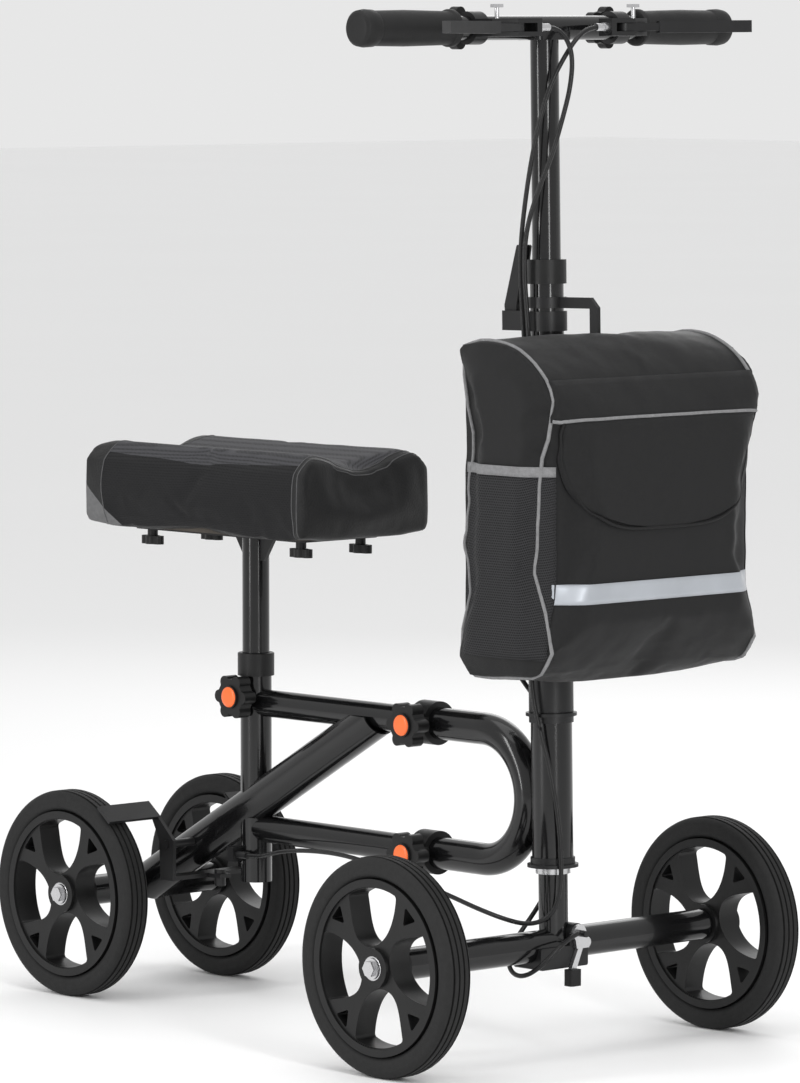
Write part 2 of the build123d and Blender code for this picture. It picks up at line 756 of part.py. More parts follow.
with BuildPart() as height_lever:
    with BuildSketch(column_side.offset(-quick_lever_width / 2)) as lever_outline:
        with BuildLine():
            Polyline(
                (lever_pivot_back - 6, lever_pivot_up - 6),
                (lever_pivot_back + 6, lever_pivot_up - 6),
                (lever_pivot_back + 8, lever_pivot_up + 14),
                (lever_pivot_back + 19, quick_lever_top),
                (lever_pivot_back + 9, quick_lever_top),
                (lever_pivot_back - 8, lever_pivot_up + 14),
                close=True,
            )
        make_face()
        fillet(lever_outline.vertices(), 2)
    extrude(amount=quick_lever_width)
    # the channel along the lever's inner side
    with BuildSketch(column_side.offset(-quick_lever_width / 2 + 2)):
        with BuildLine():
            Polyline(
                (lever_pivot_back + 2, lever_pivot_up + 16),
                (lever_pivot_back + 14, lever_pivot_up + 16),
                (lever_pivot_back + 26, quick_lever_top + 4),
                (lever_pivot_back + 15, quick_lever_top + 4),
                close=True,
            )
        make_face()
    extrude(amount=quick_lever_width - 4, mode=Mode.SUBTRACT)
    with BuildSketch(column_side.offset(-ears_width / 2)):
        with Locations((lever_pivot_back, lever_pivot_up)):
            Circle(lever_pin_radius + running)
    extrude(amount=ears_width, mode=Mode.SUBTRACT)
pieces["height_lever"] = height_lever

hanger_low = 583.0
hanger_height = 10.0
hanger_reach = 67.0
hanger_leg = 10.0
hanger_drop = 46.0
hanger_thickness = 4.0
with BuildPart() as bag_hanger:
    with BuildSketch(steering.offset(hanger_low)):
        Circle(column_radius + 2.5)
    extrude(amount=hanger_height)
    with BuildSketch(column_side.offset(-hanger_thickness / 2)) as hook:
        with Locations((hanger_reach / 2, hanger_low + hanger_height / 2)):
            Rectangle(hanger_reach, hanger_height)
        with Locations((hanger_reach - hanger_leg / 2, hanger_low + hanger_height - hanger_drop / 2)):
            Rectangle(hanger_leg, hanger_drop)
        chamfer(hook.vertices().group_by(Axis.Z)[-1].sort_by(Axis.X)[-1], 9)
    extrude(amount=hanger_thickness)
    with BuildSketch(steering.offset(hanger_low)):
        Circle(column_radius)
    extrude(amount=hanger_height, mode=Mode.SUBTRACT)
pieces["bag_hanger"] = bag_hanger

# ---------------------------------------------------------------- bag
bag_front_x = front_axle_x + bag_front_reach
bag_back_x = bag_front_x - bag_depth
bag_top = bag_bottom + bag_height
bag_corner = 20.0
with BuildPart() as bag:
    with BuildSketch(side.offset(-bag_width / 2)):
        with BuildLine():
            Polyline(
                (bag_back_x, bag_top - 9),
                (bag_back_x, bag_bottom + 18),
                (bag_back_x + 16, bag_bottom),
                (bag_front_x - 24, bag_bottom + 4),
                (bag_front_x, bag_bottom + 34),
                (bag_front_x, bag_front_shoulder),
            )
            Spline(
                (bag_front_x, bag_front_shoulder),
                (bag_front_x - 46, bag_top - 14),
                (bag_back_x, bag_top - 9),
                tangents=((-0.15, 1), (-1, -0.3)),
            )
        make_face()
    extrude(amount=bag_width)
    front_edges = bag.edges().filter_by(Axis.Z).group_by(Axis.X)[-1]
    fillet(front_edges, bag_corner)
    # the channel that the bag's back panel leaves for the column and the fold joint
    with BuildSketch(steering.offset(bag_bottom - 2 * wheel_radius)):
        Circle(fold_block_radius + soft_gap + running)
    extrude(amount=hinge_high + 4 - (bag_bottom - 2 * wheel_radius), mode=Mode.SUBTRACT)
    with BuildSketch(steering.offset(hinge_high)):
        Circle(column_radius + soft_gap + running)
    extrude(amount=column_high - hinge_high, mode=Mode.SUBTRACT)
    with BuildSketch(column_side.offset(-hanger_thickness / 2 - soft_gap - running)):
        with Locations((hanger_reach - hanger_leg / 2, hanger_low + hanger_height - hanger_drop / 2)):
            Rectangle(hanger_leg + 2 * soft_gap, hanger_drop + 2 * soft_gap)
    extrude(amount=hanger_thickness + 2 * soft_gap + 2 * running, mode=Mode.SUBTRACT)
pieces["bag"] = bag

# ---------------------------------------------------------------- handlebar
pieces["inner_tube"] = tube(
    steering.offset(inner_tube_low),
    handlebar_height - bar_radius - inner_tube_low,
    inner_tube_radius,
    inner_tube_radius - tube_wall,
)
bar_axis = on_axis(0, 0, handlebar_height)
bar_x, bar_z = bar_axis[0], bar_axis[2]
with BuildPart() as handlebar:
    with BuildSketch(along_y(bar_x, bar_z, -bar_half_length)):
        Circle(bar_radius)
    extrude(amount=2 * bar_half_length)
    with BuildSketch(steering.offset(handlebar_height - bar_radius)):
        RectangleRounded(30, 44, 6)
    extrude(amount=bar_radius)
    with BuildSketch(along_y(bar_x, bar_z, -bar_half_length)):
        Circle(bar_radius - 2)
    extrude(amount=2 * bar_half_length, mode=Mode.SUBTRACT)
pieces["handlebar"] = handlebar

with BuildPart() as grips:
    for turn in (1, -1):
        face = Plane(origin=(bar_x, turn * grip_start, bar_z), x_dir=(1, 0, 0), z_dir=(0, turn, 0))
        with BuildSketch(face):
            Circle(grip_radius)
        extrude(amount=grip_end - grip_start)
        with BuildSketch(face):
            Circle(bar_radius)
        extrude(amount=bar_half_length - grip_start, mode=Mode.SUBTRACT)
    fillet(grips.edges().filter_by(GeomType.CIRCLE).filter_by(lambda edge: edge.radius > grip_radius - 1), 2)
pieces["grips"] = grips

perch_width = 16.0
perch_thickness = 16.0
perch_inner = 44.0
perch_front = 43.0
lever_slot = lever_thickness + 0.8
pin_forward = 28.0
pin_station = 86.0
pin_radius = 2.0
bar_plane = Plane(origin=bar_axis, x_dir=forward_of_column, z_dir=steering_direction)
with BuildPart() as brake_perches:
    for turn in (1, -1):
        ring = Plane(
            origin=(bar_x, turn * (perch_station - perch_width / 2), bar_z), x_dir=(1, 0, 0), z_dir=(0, turn, 0)
        )
        with BuildSketch(ring):
            Circle(bar_radius + 4)
        extrude(amount=perch_width)
        with BuildSketch(bar_plane.offset(-perch_thickness / 2)) as perch_outline:
            with BuildLine():
                Polyline(
                    (0, turn * (perch_station - perch_width / 2)),
                    (16, turn * (perch_station - perch_width / 2)),
                    (lever_pivot_forward - 8, turn * perch_inner),
                    (perch_front, turn * perch_inner),
                    (perch_front, turn * (lever_pivot_station + 6)),
                    (pin_forward + 6, turn * (perch_station + perch_width / 2)),
                    (0, turn * (perch_station + perch_width / 2)),
                    close=True,
                )
            make_face()
        extrude(amount=perch_thickness)
        with BuildSketch(bar_plane.offset(-lever_slot / 2)):
            with Locations((perch_front, turn * (perch_inner + 6 + 50))):
                Rectangle(2 * (perch_front - bar_radius - 6), 100)
        extrude(amount=lever_slot, mode=Mode.SUBTRACT)
        with BuildSketch(bar_plane.offset(-perch_thickness / 2)):
            with Locations((lever_pivot_forward, turn * lever_pivot_station)):
                Circle(2.5)
        extrude(amount=perch_thickness)
        with BuildSketch(bar_plane.offset(lever_slot / 2)):
            with Locations((pin_forward, turn * pin_station)):
                Circle(pin_radius + running)
        extrude(amount=perch_thickness, mode=Mode.SUBTRACT)
    with BuildSketch(along_y(bar_x, bar_z, -bar_half_length)):
        Circle(bar_radius)
    extrude(amount=2 * bar_half_length, mode=Mode.SUBTRACT)
pieces["brake_perches"] = brake_perches

adjuster_forward = 36.5
adjuster_length = 14.0
adjuster_end = perch_inner - adjuster_length
with BuildPart() as cable_adjusters:
    for turn in (1, -1):
        start = bar_plane.from_local_coords(Vector(adjuster_forward, turn * perch_inner, 0))
        face = Plane(origin=start, x_dir=(1, 0, 0), z_dir=(0, -turn, 0))
        with BuildSketch(face):
            Circle(cable_radius + 2)
            Circle(cable_radius + running, mode=Mode.SUBTRACT)
        extrude(amount=5)
        with BuildSketch(face.offset(5)):
            Circle(cable_radius + 1.2)
            Circle(cable_radius + running, mode=Mode.SUBTRACT)
        extrude(amount=adjuster_length - 5)
pieces["cable_adjusters"] = cable_adjusters

lever_height = 11.0


def brake_lever(turn):
    """One brake lever: a flat root in the perch's slot and a taller blade curving out to a rounded tip."""
    reach_x = lever_tip_forward - lever_pivot_forward
    reach_y = lever_tip_station - lever_pivot_station
    with BuildPart() as piece:
        with BuildSketch(bar_plane.offset(-lever_thickness / 2)):
            with Locations((lever_pivot_forward, turn * lever_pivot_station)):
                Circle(7.5)
            with BuildLine():
                Polyline(
                    (lever_pivot_forward + 7, turn * (lever_pivot_station - 2)),
                    (lever_pivot_forward + 14, turn * (lever_pivot_station + 34)),
                    (lever_pivot_forward + 4, turn * (lever_pivot_station + 40)),
                    (lever_pivot_forward - 5, turn * (lever_pivot_station + 6)),
                    close=True,
                )
            make_face()
            with Locations((lever_pivot_forward, turn * lever_pivot_station)):
                Circle(2.5 + running, mode=Mode.SUBTRACT)
        extrude(amount=lever_thickness)
        with BuildSketch(bar_plane.offset(-lever_height / 2)) as blade:
            with BuildLine():
                Spline(
                    (lever_pivot_forward + 14, turn * (lever_pivot_station + 32)),
                    (lever_pivot_forward + 0.72 * reach_x, turn * (lever_pivot_station + 0.66 * reach_y)),
                    (lever_tip_forward + 3, turn * lever_tip_station),
                )
                Line(
                    (lever_tip_forward + 3, turn * lever_tip_station),
                    (lever_tip_forward - 6, turn * (lever_tip_station + 2)),
                )
                Spline(
                    (lever_tip_forward - 6, turn * (lever_tip_station + 2)),
                    (lever_pivot_forward + 0.5 * reach_x, turn * (lever_pivot_station + 0.66 * reach_y)),
                    (lever_pivot_forward + 4, turn * (lever_pivot_station + 38)),
                )
                Line(
                    (lever_pivot_forward + 4, turn * (lever_pivot_station + 38)),
                    (lever_pivot_forward + 14, turn * (lever_pivot_station + 32)),
                )
            make_face()
        extrude(amount=lever_height)
    return piece


pieces["left_brake_lever"] = brake_lever(1)
pieces["right_brake_lever"] = brake_lever(-1)


def lock_pin(turn):
    """The sprung pin on a perch that holds its lever squeezed, with a cross-bar head."""
    with BuildPart() as piece:
        with BuildSketch(bar_plane.offset(perch_thickness / 2 - 2)):
            with Locations((pin_forward, turn * pin_station)):
                Circle(pin_radius)
        extrude(amount=12)
        with BuildSketch(bar_plane.offset(perch_thickness / 2 + 10)):
            with Locations((pin_forward, turn * pin_station)):
                Rectangle(4.5, 12)
        extrude(amount=3)
    return piece


pieces["left_lock_pin"] = lock_pin(1)
pieces["right_lock_pin"] = lock_pin(-1)

bar_knob_radius = 20.0
bar_knob_thickness = 10.0
bar_knob_station = 94.0
for name, turn in (("left_bar_knob", 1), ("right_bar_knob", -1)):
    back = Plane(
        origin=(bar_x - bar_radius - 4 - knob_gap, turn * bar_knob_station, bar_z), x_dir=(0, 1, 0), z_dir=(-1, 0, 0)
    )
    pieces[name] = star_knob(back, bar_knob_radius, bar_knob_thickness, knob_gap - 0.1, 5)

# ---------------------------------------------------------------- seat
plate_thickness = 4.0
board_thickness = 8.0
board_margin = 14.0
board_low = pad_bottom + 1
with BuildPart() as seat_post:
    with BuildSketch(Plane.XY.offset(186)):
        with Locations((seat_x, 0)):
            Circle(inner_tube_radius)
            Circle(inner_tube_radius - tube_wall, mode=Mode.SUBTRACT)
    extrude(amount=board_low - plate_thickness - 186)
pieces["seat_post"] = seat_post

with BuildPart() as seat_bracket:
    with BuildSketch(Plane.XY.offset(board_low - plate_thickness)):
        with Locations((seat_x, 0)):
            RectangleRounded(knob_spread_x + 30, knob_spread_y + 24, 8)
            with GridLocations(knob_spread_x, knob_spread_y, 2, 2):
                Circle(3.2, mode=Mode.SUBTRACT)
    extrude(amount=plate_thickness)
    for turn in (1, -1):
        with BuildSketch(side.offset(turn * 3 - 2)):
            with BuildLine():
                Polyline(
                    (seat_x + turn * 10, board_low - plate_thickness),
                    (seat_x + turn * 34, board_low - plate_thickness),
                    (seat_x + turn * (inner_tube_radius + 4), board_low - plate_thickness - 26),
                    (seat_x + turn * 10, board_low - plate_thickness - 26),
                    close=True,
                )
            make_face()
        extrude(amount=4)
    with BuildSketch(Plane.XY.offset(board_low - plate_thickness - 60)):
        with Locations((seat_x, 0)):
            Circle(inner_tube_radius)
    extrude(amount=60, mode=Mode.SUBTRACT)
pieces["seat_bracket"] = seat_bracket

with BuildPart() as pad_board:
    with BuildSketch(Plane.XY.offset(board_low)):
        with Locations((seat_x, 0)):
            RectangleRounded(pad_length - 2 * board_margin, pad_width - 2 * board_margin, 12)
            with GridLocations(knob_spread_x, knob_spread_y, 2, 2):
                Circle(3.2, mode=Mode.SUBTRACT)
    extrude(amount=board_thickness)
pieces["pad_board"] = pad_board

pad_top = pad_bottom + pad_thickness
with BuildPart() as knee_pad:
    with BuildSketch(Plane.YZ.offset(seat_x - pad_length / 2)) as pad_section:
        with BuildLine():
            Polyline(
                (-pad_width / 2 + 14, pad_top),
                (-pad_width / 2, pad_top - 14),
                (-pad_width / 2, pad_bottom + 6),
                (-pad_width / 2 + 6, pad_bottom),
                (pad_width / 2 - 6, pad_bottom),
                (pad_width / 2, pad_bottom + 6),
                (pad_width / 2, pad_top - 14),
                (pad_width / 2 - 14, pad_top),
            )
            Spline(
                (pad_width / 2 - 14, pad_top),
                (0, pad_top - pad_dish),
                (-pad_width / 2 + 14, pad_top),
                tangents=((-1, 0), (-1, 0)),
            )
        make_face()
    extrude(amount=pad_length)
    with BuildSketch(Plane.XY.offset(pad_bottom)):
        with Locations((seat_x, 0)):
            RectangleRounded(pad_length - 2 * board_margin + 1, pad_width - 2 * board_margin + 1, 12)
    extrude(amount=board_thickness + 1 + soft_gap, mode=Mode.SUBTRACT)
pieces["knee_pad"] = knee_pad

with BuildPart() as pad_knobs:
    for x_side in (1, -1):
        for y_side in (1, -1):
            place = (seat_x + x_side * knob_spread_x / 2, y_side * knob_spread_y / 2)
            with BuildSketch(Plane.XY.offset(board_low - plate_thickness - 15)):
                with Locations(place):
                    Circle(7)
                    SlotOverall(28, 9)
            extrude(amount=8)
            with BuildSketch(Plane.XY.offset(board_low - plate_thickness - 7)):
                with Locations(place):
                    Circle(5)
            extrude(amount=7)
            with BuildSketch(Plane.XY.offset(board_low - plate_thickness)):
                with Locations(place):
                    Circle(3)
            extrude(amount=plate_thickness + board_thickness - 1)
pieces["pad_knobs"] = pad_knobs

# ---------------------------------------------------------------- rear brake
shoe_gap = 3.0
shoe_angle = 52.0
shoe_width = 22.0
shoe_thickness = 3.0
shoe_end = rear_track / 2 + tyre_width / 2
strip_height = 119.0
strip_thickness = 4.0
strip_low = strip_height + 1 - strip_thickness
pinch_radius = 2.5
pinch_head_radius = 5.5
pinch_head = 4.0
pinch_nut = 8.0
pinch_x = brake_pivot_x + 19
shoe_radial = (cos(radians(shoe_angle)), 0, sin(radians(shoe_angle)))
shoe_plane = Plane(
    origin=(
        rear_axle_x + (wheel_radius + shoe_gap) * cos(radians(shoe_angle)),
        0,
        wheel_radius + (wheel_radius + shoe_gap) * sin(radians(shoe_angle)),
    ),
    x_dir=(0, 1, 0),
    z_dir=shoe_radial,
)
shoe_x = rear_axle_x + (wheel_radius + shoe_gap + shoe_thickness) * cos(radians(shoe_angle))
shoe_z = wheel_radius + (wheel_radius + shoe_gap + shoe_thickness) * sin(radians(shoe_angle))
with BuildPart() as brake_bar:
    for turn in (1, -1):
        with BuildSketch(shoe_plane):
            with Locations((turn * (brake_arm_station + shoe_end) / 2, 0)):
                Rectangle(shoe_end - brake_arm_station + 2, shoe_width)
        extrude(amount=shoe_thickness)
        with BuildSketch(side.offset(-turn * brake_arm_station - brake_arm_thickness / 2)):
            with BuildLine():
                Polyline(
                    (shoe_x - 9, shoe_z + 6),
                    (shoe_x + 8, shoe_z - 7),
                    (brake_pivot_x + 10, brake_pivot_z + 4),
                    (brake_pivot_x + 9, strip_height),
                    (brake_pivot_x - 9, strip_height),
                    (brake_pivot_x - 11, brake_pivot_z + 4),
                    close=True,
                )
            make_face()
            with Locations((brake_pivot_x, brake_pivot_z)):
                Circle(brake_pivot_radius + running, mode=Mode.SUBTRACT)
        extrude(amount=brake_arm_thickness)
    with BuildSketch(Plane.XY.offset(strip_low)):
        with Locations((brake_pivot_x, 0)):
            Rectangle(18, 2 * brake_arm_station + brake_arm_thickness)
        with Locations((brake_pivot_x + 16, 0)):
            Rectangle(22, 14)
        with Locations((pinch_x, 0)):
            Circle(pinch_radius + running, mode=Mode.SUBTRACT)
    extrude(amount=strip_thickness)
    for low, size, length in (
        (strip_low - running - pinch_nut, pinch_head_radius, pinch_nut),
        (strip_low - running, pinch_radius, strip_thickness + 2 * running),
        (strip_low + strip_thickness + running, pinch_head_radius, pinch_head),
    ):
        with BuildSketch(Plane.XY.offset(low)):
            with Locations((pinch_x, 0)):
                Circle(size)
        extrude(amount=length)
pieces["brake_bar"] = brake_bar

# ---------------------------------------------------------------- brake cables
def cable(points, name):
    """One brake cable's housing: straight runs through these points joined by the largest arcs they allow."""
    corners = [Vector(*point) for point in points]
    radii = []
    for before, here, after in zip(corners, corners[1:], corners[2:]):
        run_in = here - before
        run_out = after - here
        turn = run_in.get_angle(run_out)
        shorter = min(run_in.length, run_out.length)
        radii.append(0.45 * shorter / tan(radians(turn / 2)))
    print(name, "radii", [round(radius, 1) for radius in radii])
    with BuildPart() as piece:
        with BuildLine() as route:
            FilletPolyline(*points, radius=radii)
        with BuildSketch(Plane(origin=points[0], z_dir=corners[1] - corners[0])):
            Circle(cable_radius)
        sweep(path=route.line)
    length = sum(edge.length for edge in route.edges())
    expected = pi * cable_radius**2 * length
    print(name, "length", round(length, 1), "volume ratio", round(piece.part.volume / expected, 5))
    return piece


def near_column(points):
    """World places of points given as forward, left and up from the steering axis and the front axle."""
    return [on_axis(*point) for point in points]


bar_level = handlebar_height
right_route = near_column(
    [
        (adjuster_forward, -adjuster_end - 7.3, bar_level),
        (adjuster_forward, -22.8, bar_level),
        (36.8, -10.2, bar_level - 7.2),
        (37.5, -3, bar_level - 19.7),
        (38, -1.8, bar_level - 35),
        (37, -4.5, bar_level - 56),
        (34, -9, bar_level - 77),
        (27, -16.5, bar_level - 112),
        (15.5, -25, bar_level - 147),
        (2, -27.5, bar_level - 182),
        (-2, -27, bar_level - 217),
        (0, -24.5, bar_level - 267),
        (2, -23, bar_level - 327),
        (2.5, -22.5, bar_level - 387),
        (2, -23, bar_level - 447),
        (1, -24.5, bar_level - 507),
        (0, -26.5, bar_level - 562),
        (3, -27, bar_level - 606),
    ]
)
right_route += near_column(
    [
        (10, -25.2, 200),
        (16.5, -20.2, 170),
        (22, -15.5, 130),
        (24.5, -13.2, 92),
        (24, -13, 62),
        (22, -14.5, 44),
        (17, -18.7, 30.5),
        (8, -25.5, 22.8),
        (-4.5, -33.5, 21),
        (-22, -43, 25.5),
        (-52, -47.5, 33),
        (-86, -47, 41),
        (-130, -46.5, 50.5),
        (-180, -45, 59.5),
    ]
)
right_route += [
    (front_axle_x - 238, -41, 163),
    (front_axle_x - 290, -37.5, 162),
    (front_axle_x - 334, -32.5, 157),
    (front_axle_x - 364, -25, 150),
    (seat_x + 25, cable_stop_station, cable_stop_height),
    (seat_x - cable_stop_block / 2, cable_stop_station, cable_stop_height),
]
left_route = near_column(
    [
        (adjuster_forward, adjuster_end + 7.3, bar_level),
        (adjuster_forward, 22.8, bar_level),
        (34, 9.5, bar_level - 8),
        (29.5, -1.5, bar_level - 24),
        (23, -13.5, bar_level - 48),
        (15.5, -22, bar_level - 82),
        (8, -26.5, bar_level - 122),
        (0, -27.5, bar_level - 162),
        (-8, -25.5, bar_level - 200),
        (-10.5, -22.5, bar_level - 240),
        (-9, -20, bar_level - 290),
        (-8, -19, bar_level - 348),
        (-8.5, -19.5, bar_level - 407),
        (-10.5, -21, bar_level - 462),
        (-14.5, -22.6, bar_level - 505),
        (-20.8, -24, bar_level - 540),
        (-28, -22, bar_level - 566),
    ]
)
left_route += near_column(
    [
        (-32.5, -12.5, 250),
        (-31.5, 1.5, 233),
        (-25.5, 13, 216),
        (-19.5, 19, 194),
        (-17.3, 20.8, 166),
        (-17.2, 20.6, 130),
        (-17.8, 20, 94),
        (-19, 17.5, 66),
        (-21.5, 11.5, 44),
        (-25.5, 0.5, 27),
        (-28.5, -14, 10.5),
        (-28, -28, -4.5),
        (-20.5, -38.5, -17.5),
        (-7.5, -43.7, -25),
        (7.5, -44.6, -25),
        (20.5, -40.5, -17.5),
        (28.5, -31.5, -6),
        (31, -19, 4),
        (29.5, -6, 9.5),
        (28, 5, 12),
    ]
)
pieces["right_brake_cable"] = cable(right_route, "right_brake_cable")
pieces["left_brake_cable"] = cable(left_route, "left_brake_cable")

# ---------------------------------------------------------------- write every piece
os.makedirs("parts", exist_ok=True)
for name, piece in pieces.items():
    piece.part.label = name
    export_step(piece.part, "parts/" + name + ".step")
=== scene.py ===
import math

import bmesh
import bpy
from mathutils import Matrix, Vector, noise
from mathutils.bvhtree import BVHTree


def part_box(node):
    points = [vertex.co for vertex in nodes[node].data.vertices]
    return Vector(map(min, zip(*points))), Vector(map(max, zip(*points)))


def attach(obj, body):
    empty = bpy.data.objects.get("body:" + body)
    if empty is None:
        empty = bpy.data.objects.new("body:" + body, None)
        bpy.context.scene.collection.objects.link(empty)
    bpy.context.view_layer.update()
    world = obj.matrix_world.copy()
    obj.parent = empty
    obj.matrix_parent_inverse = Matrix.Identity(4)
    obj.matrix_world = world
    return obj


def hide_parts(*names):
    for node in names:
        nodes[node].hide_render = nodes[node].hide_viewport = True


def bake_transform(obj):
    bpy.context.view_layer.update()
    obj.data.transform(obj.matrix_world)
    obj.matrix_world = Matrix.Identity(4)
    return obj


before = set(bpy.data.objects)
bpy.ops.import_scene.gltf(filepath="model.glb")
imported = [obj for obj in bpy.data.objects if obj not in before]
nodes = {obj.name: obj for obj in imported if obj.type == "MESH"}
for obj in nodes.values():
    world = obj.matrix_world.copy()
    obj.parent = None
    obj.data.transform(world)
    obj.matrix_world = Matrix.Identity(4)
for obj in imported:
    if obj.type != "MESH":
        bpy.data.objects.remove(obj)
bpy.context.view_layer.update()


def corners(name):
    low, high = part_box(name)
    return Vector(low), Vector(high)


# ------------------------------------------------------------------ places read from the CAD
low, high = corners("front_axle_tube")
front_axle = (low + high) / 2
low, high = corners("rear_axle_tube")
rear_axle = (low + high) / 2
low, high = corners("seat_post")
seat_x = (low.x + high.x) / 2
RAKE = math.radians(1.0)
FORWARD = Vector((math.cos(RAKE), 0, math.sin(RAKE)))
LEFT = Vector((0, 1, 0))
UP = Vector((-math.sin(RAKE), 0, math.cos(RAKE)))


def on_axis(forward, left, up):
    """A place given in millimetres from the steering axis and the front axle."""
    return front_axle + (FORWARD * forward + LEFT * left + UP * up) * 0.001


# ------------------------------------------------------------------ node material helpers
class Nodes:
    """A short way to build one material's node tree."""

    def __init__(self, name):
        self.material = bpy.data.materials.new(name)
        self.material.use_nodes = True
        self.tree = self.material.node_tree
        self.tree.nodes.clear()
        self.out = self.tree.nodes.new("ShaderNodeOutputMaterial")
        self.shader = self.tree.nodes.new("ShaderNodeBsdfPrincipled")
        self.link(self.shader.outputs[0], self.out.inputs[0])

    def link(self, a, b):
        self.tree.links.new(a, b)

    def set(self, **values):
        for name, value in values.items():
            self.shader.inputs[name.replace("_", " ")].default_value = value

    def node(self, kind, **settings):
        made = self.tree.nodes.new(kind)
        for name, value in settings.items():
            setattr(made, name, value)
        return made

    def position(self):
        return self.node("ShaderNodeTexCoord").outputs["Object"]

    def noise(self, scale, detail=3.0, rough=0.5, vector=None, distortion=0.0):
        made = self.node("ShaderNodeTexNoise")
        made.inputs["Scale"].default_value = scale
        made.inputs["Detail"].default_value = detail
        made.inputs["Roughness"].default_value = rough
        made.inputs["Distortion"].default_value = distortion
        self.link(vector or self.position(), made.inputs["Vector"])
        return made.outputs["Fac"]

    def voronoi(self, scale, vector=None, feature="F1"):
        made = self.node("ShaderNodeTexVoronoi", feature=feature)
        made.inputs["Scale"].default_value = scale
        self.link(vector or self.position(), made.inputs["Vector"])
        return made.outputs["Distance"]

    def math(self, operation, a, b=0.5, clamp=False):
        made = self.node("ShaderNodeMath", operation=operation, use_clamp=clamp)
        for socket, value in zip(made.inputs, (a, b)):
            if isinstance(value, (int, float)):
                socket.default_value = value
            else:
                self.link(value, socket)
        return made.outputs[0]

    def mapped(self, value, low, high, from_low=0.0, from_high=1.0):
        made = self.node("ShaderNodeMapRange")
        limits = (("From Min", from_low), ("From Max", from_high), ("To Min", low), ("To Max", high))
        for name, number in limits:
            made.inputs[name].default_value = number
        self.link(value, made.inputs["Value"])
        return made.outputs["Result"]

    def mix(self, factor, a, b):
        made = self.node("ShaderNodeMix", data_type="RGBA")
        for socket, value in ((made.inputs["Factor"], factor), (made.inputs["A"], a), (made.inputs["B"], b)):
            if isinstance(value, tuple):
                socket.default_value = (*value, 1)
            elif isinstance(value, (int, float)):
                socket.default_value = value
            else:
                self.link(value, socket)
        return made.outputs["Result"]

    def scaled(self, factors, vector=None):
        made = self.node("ShaderNodeMapping")
        made.inputs["Scale"].default_value = factors
        self.link(vector or self.position(), made.inputs["Vector"])
        return made.outputs["Vector"]

    def separate(self, vector=None):
        made = self.node("ShaderNodeSeparateXYZ")
        self.link(vector or self.position(), made.inputs[0])
        return made.outputs

    def bump(self, height, strength, distance=0.001, before=None):
        made = self.node("ShaderNodeBump")
        made.inputs["Strength"].default_value = strength
        made.inputs["Distance"].default_value = distance
        self.link(height, made.inputs["Height"])
        if before is not None:
            self.link(before, made.inputs["Normal"])
        self.link(made.outputs["Normal"], self.shader.inputs["Normal"])
        return made.outputs["Normal"]

    def colour(self, socket):
        self.link(socket, self.shader.inputs["Base Color"])

    def rough(self, socket):
        self.link(socket, self.shader.inputs["Roughness"])


def paint():
    """Gloss black powder coat: faint orange peel, dust specks and small differences in gloss."""
    m = Nodes("gloss_black_paint")
    cloud = m.noise(9, 3)
    m.colour(m.mix(cloud, (0.003, 0.003, 0.0033), (0.006, 0.006, 0.0063)))
    m.rough(m.mapped(m.noise(35, 4), 0.1, 0.24))
    peel = m.bump(m.noise(420, 2), 0.06, 0.0006)
    m.bump(m.noise(1500, 2), 0.05, 0.0003, peel)
    m.set(Specular_IOR_Level=0.32, Coat_Weight=0.25, Coat_Roughness=0.05)
    return m.material


def satin_paint():
    """Satin black finish of castings and small brackets."""
    m = Nodes("satin_black_metal")
    m.colour(m.mix(m.noise(40, 4), (0.005, 0.005, 0.0055), (0.012, 0.012, 0.0125)))
    m.rough(m.mapped(m.noise(90, 4), 0.28, 0.5))
    m.bump(m.noise(900, 3), 0.12, 0.0006)
    m.set(Specular_IOR_Level=0.3, Coat_Weight=0.05, Coat_Roughness=0.3)
    return m.material


def moulded(name, dark, light, rough_low, rough_high, grain=700, strength=0.15):
    """Moulded plastic with a fine spark-eroded grain and slight colour drift."""
    m = Nodes(name)
    m.colour(m.mix(m.noise(25, 5), dark, light))
    m.rough(m.mapped(m.noise(60, 5, 0.6), rough_low, rough_high))
    first = m.bump(m.noise(grain, 4, 0.6), strength, 0.0006)
    m.bump(m.noise(30, 3), 0.1, 0.0015, first)
    m.set(Specular_IOR_Level=0.25)
    return m.material


def tyre_rubber():
    """Solid rubber: dull, dusty in the grooves, scuffed on the tread."""
    m = Nodes("tyre_rubber")
    dust = m.noise(14, 6, 0.65)
    fine = m.noise(220, 4, 0.6)
    base = m.mix(dust, (0.006, 0.006, 0.0062), (0.015, 0.015, 0.015))
    m.colour(m.mix(m.mapped(fine, 0, 0.55), base, (0.028, 0.028, 0.028)))
    m.rough(m.mapped(dust, 0.55, 0.78))
    first = m.bump(m.noise(650, 4, 0.65), 0.35, 0.0008)
    m.bump(m.noise(45, 4), 0.25, 0.0015, first)
    m.set(Specular_IOR_Level=0.2)
    return m.material


def bright_metal(name="zinc_plate", base=(0.62, 0.62, 0.63), rough_low=0.18, rough_high=0.38):
    """Zinc or nickel plate: cloudy gloss, hairline scratches."""
    m = Nodes(name)
    m.set(Metallic=1.0)
    cloud = m.noise(120, 4)
    m.colour(m.mix(cloud, tuple(part * 0.8 for part in base), base))
    scratch = m.noise(90, 2, 0.5, m.scaled((1, 14, 1)))
    m.rough(m.mapped(m.math("ADD", cloud, m.math("MULTIPLY", scratch, 0.4)), rough_low, rough_high, 0.3, 1.1))
    m.bump(scratch, 0.08, 0.0004)
    return m.material


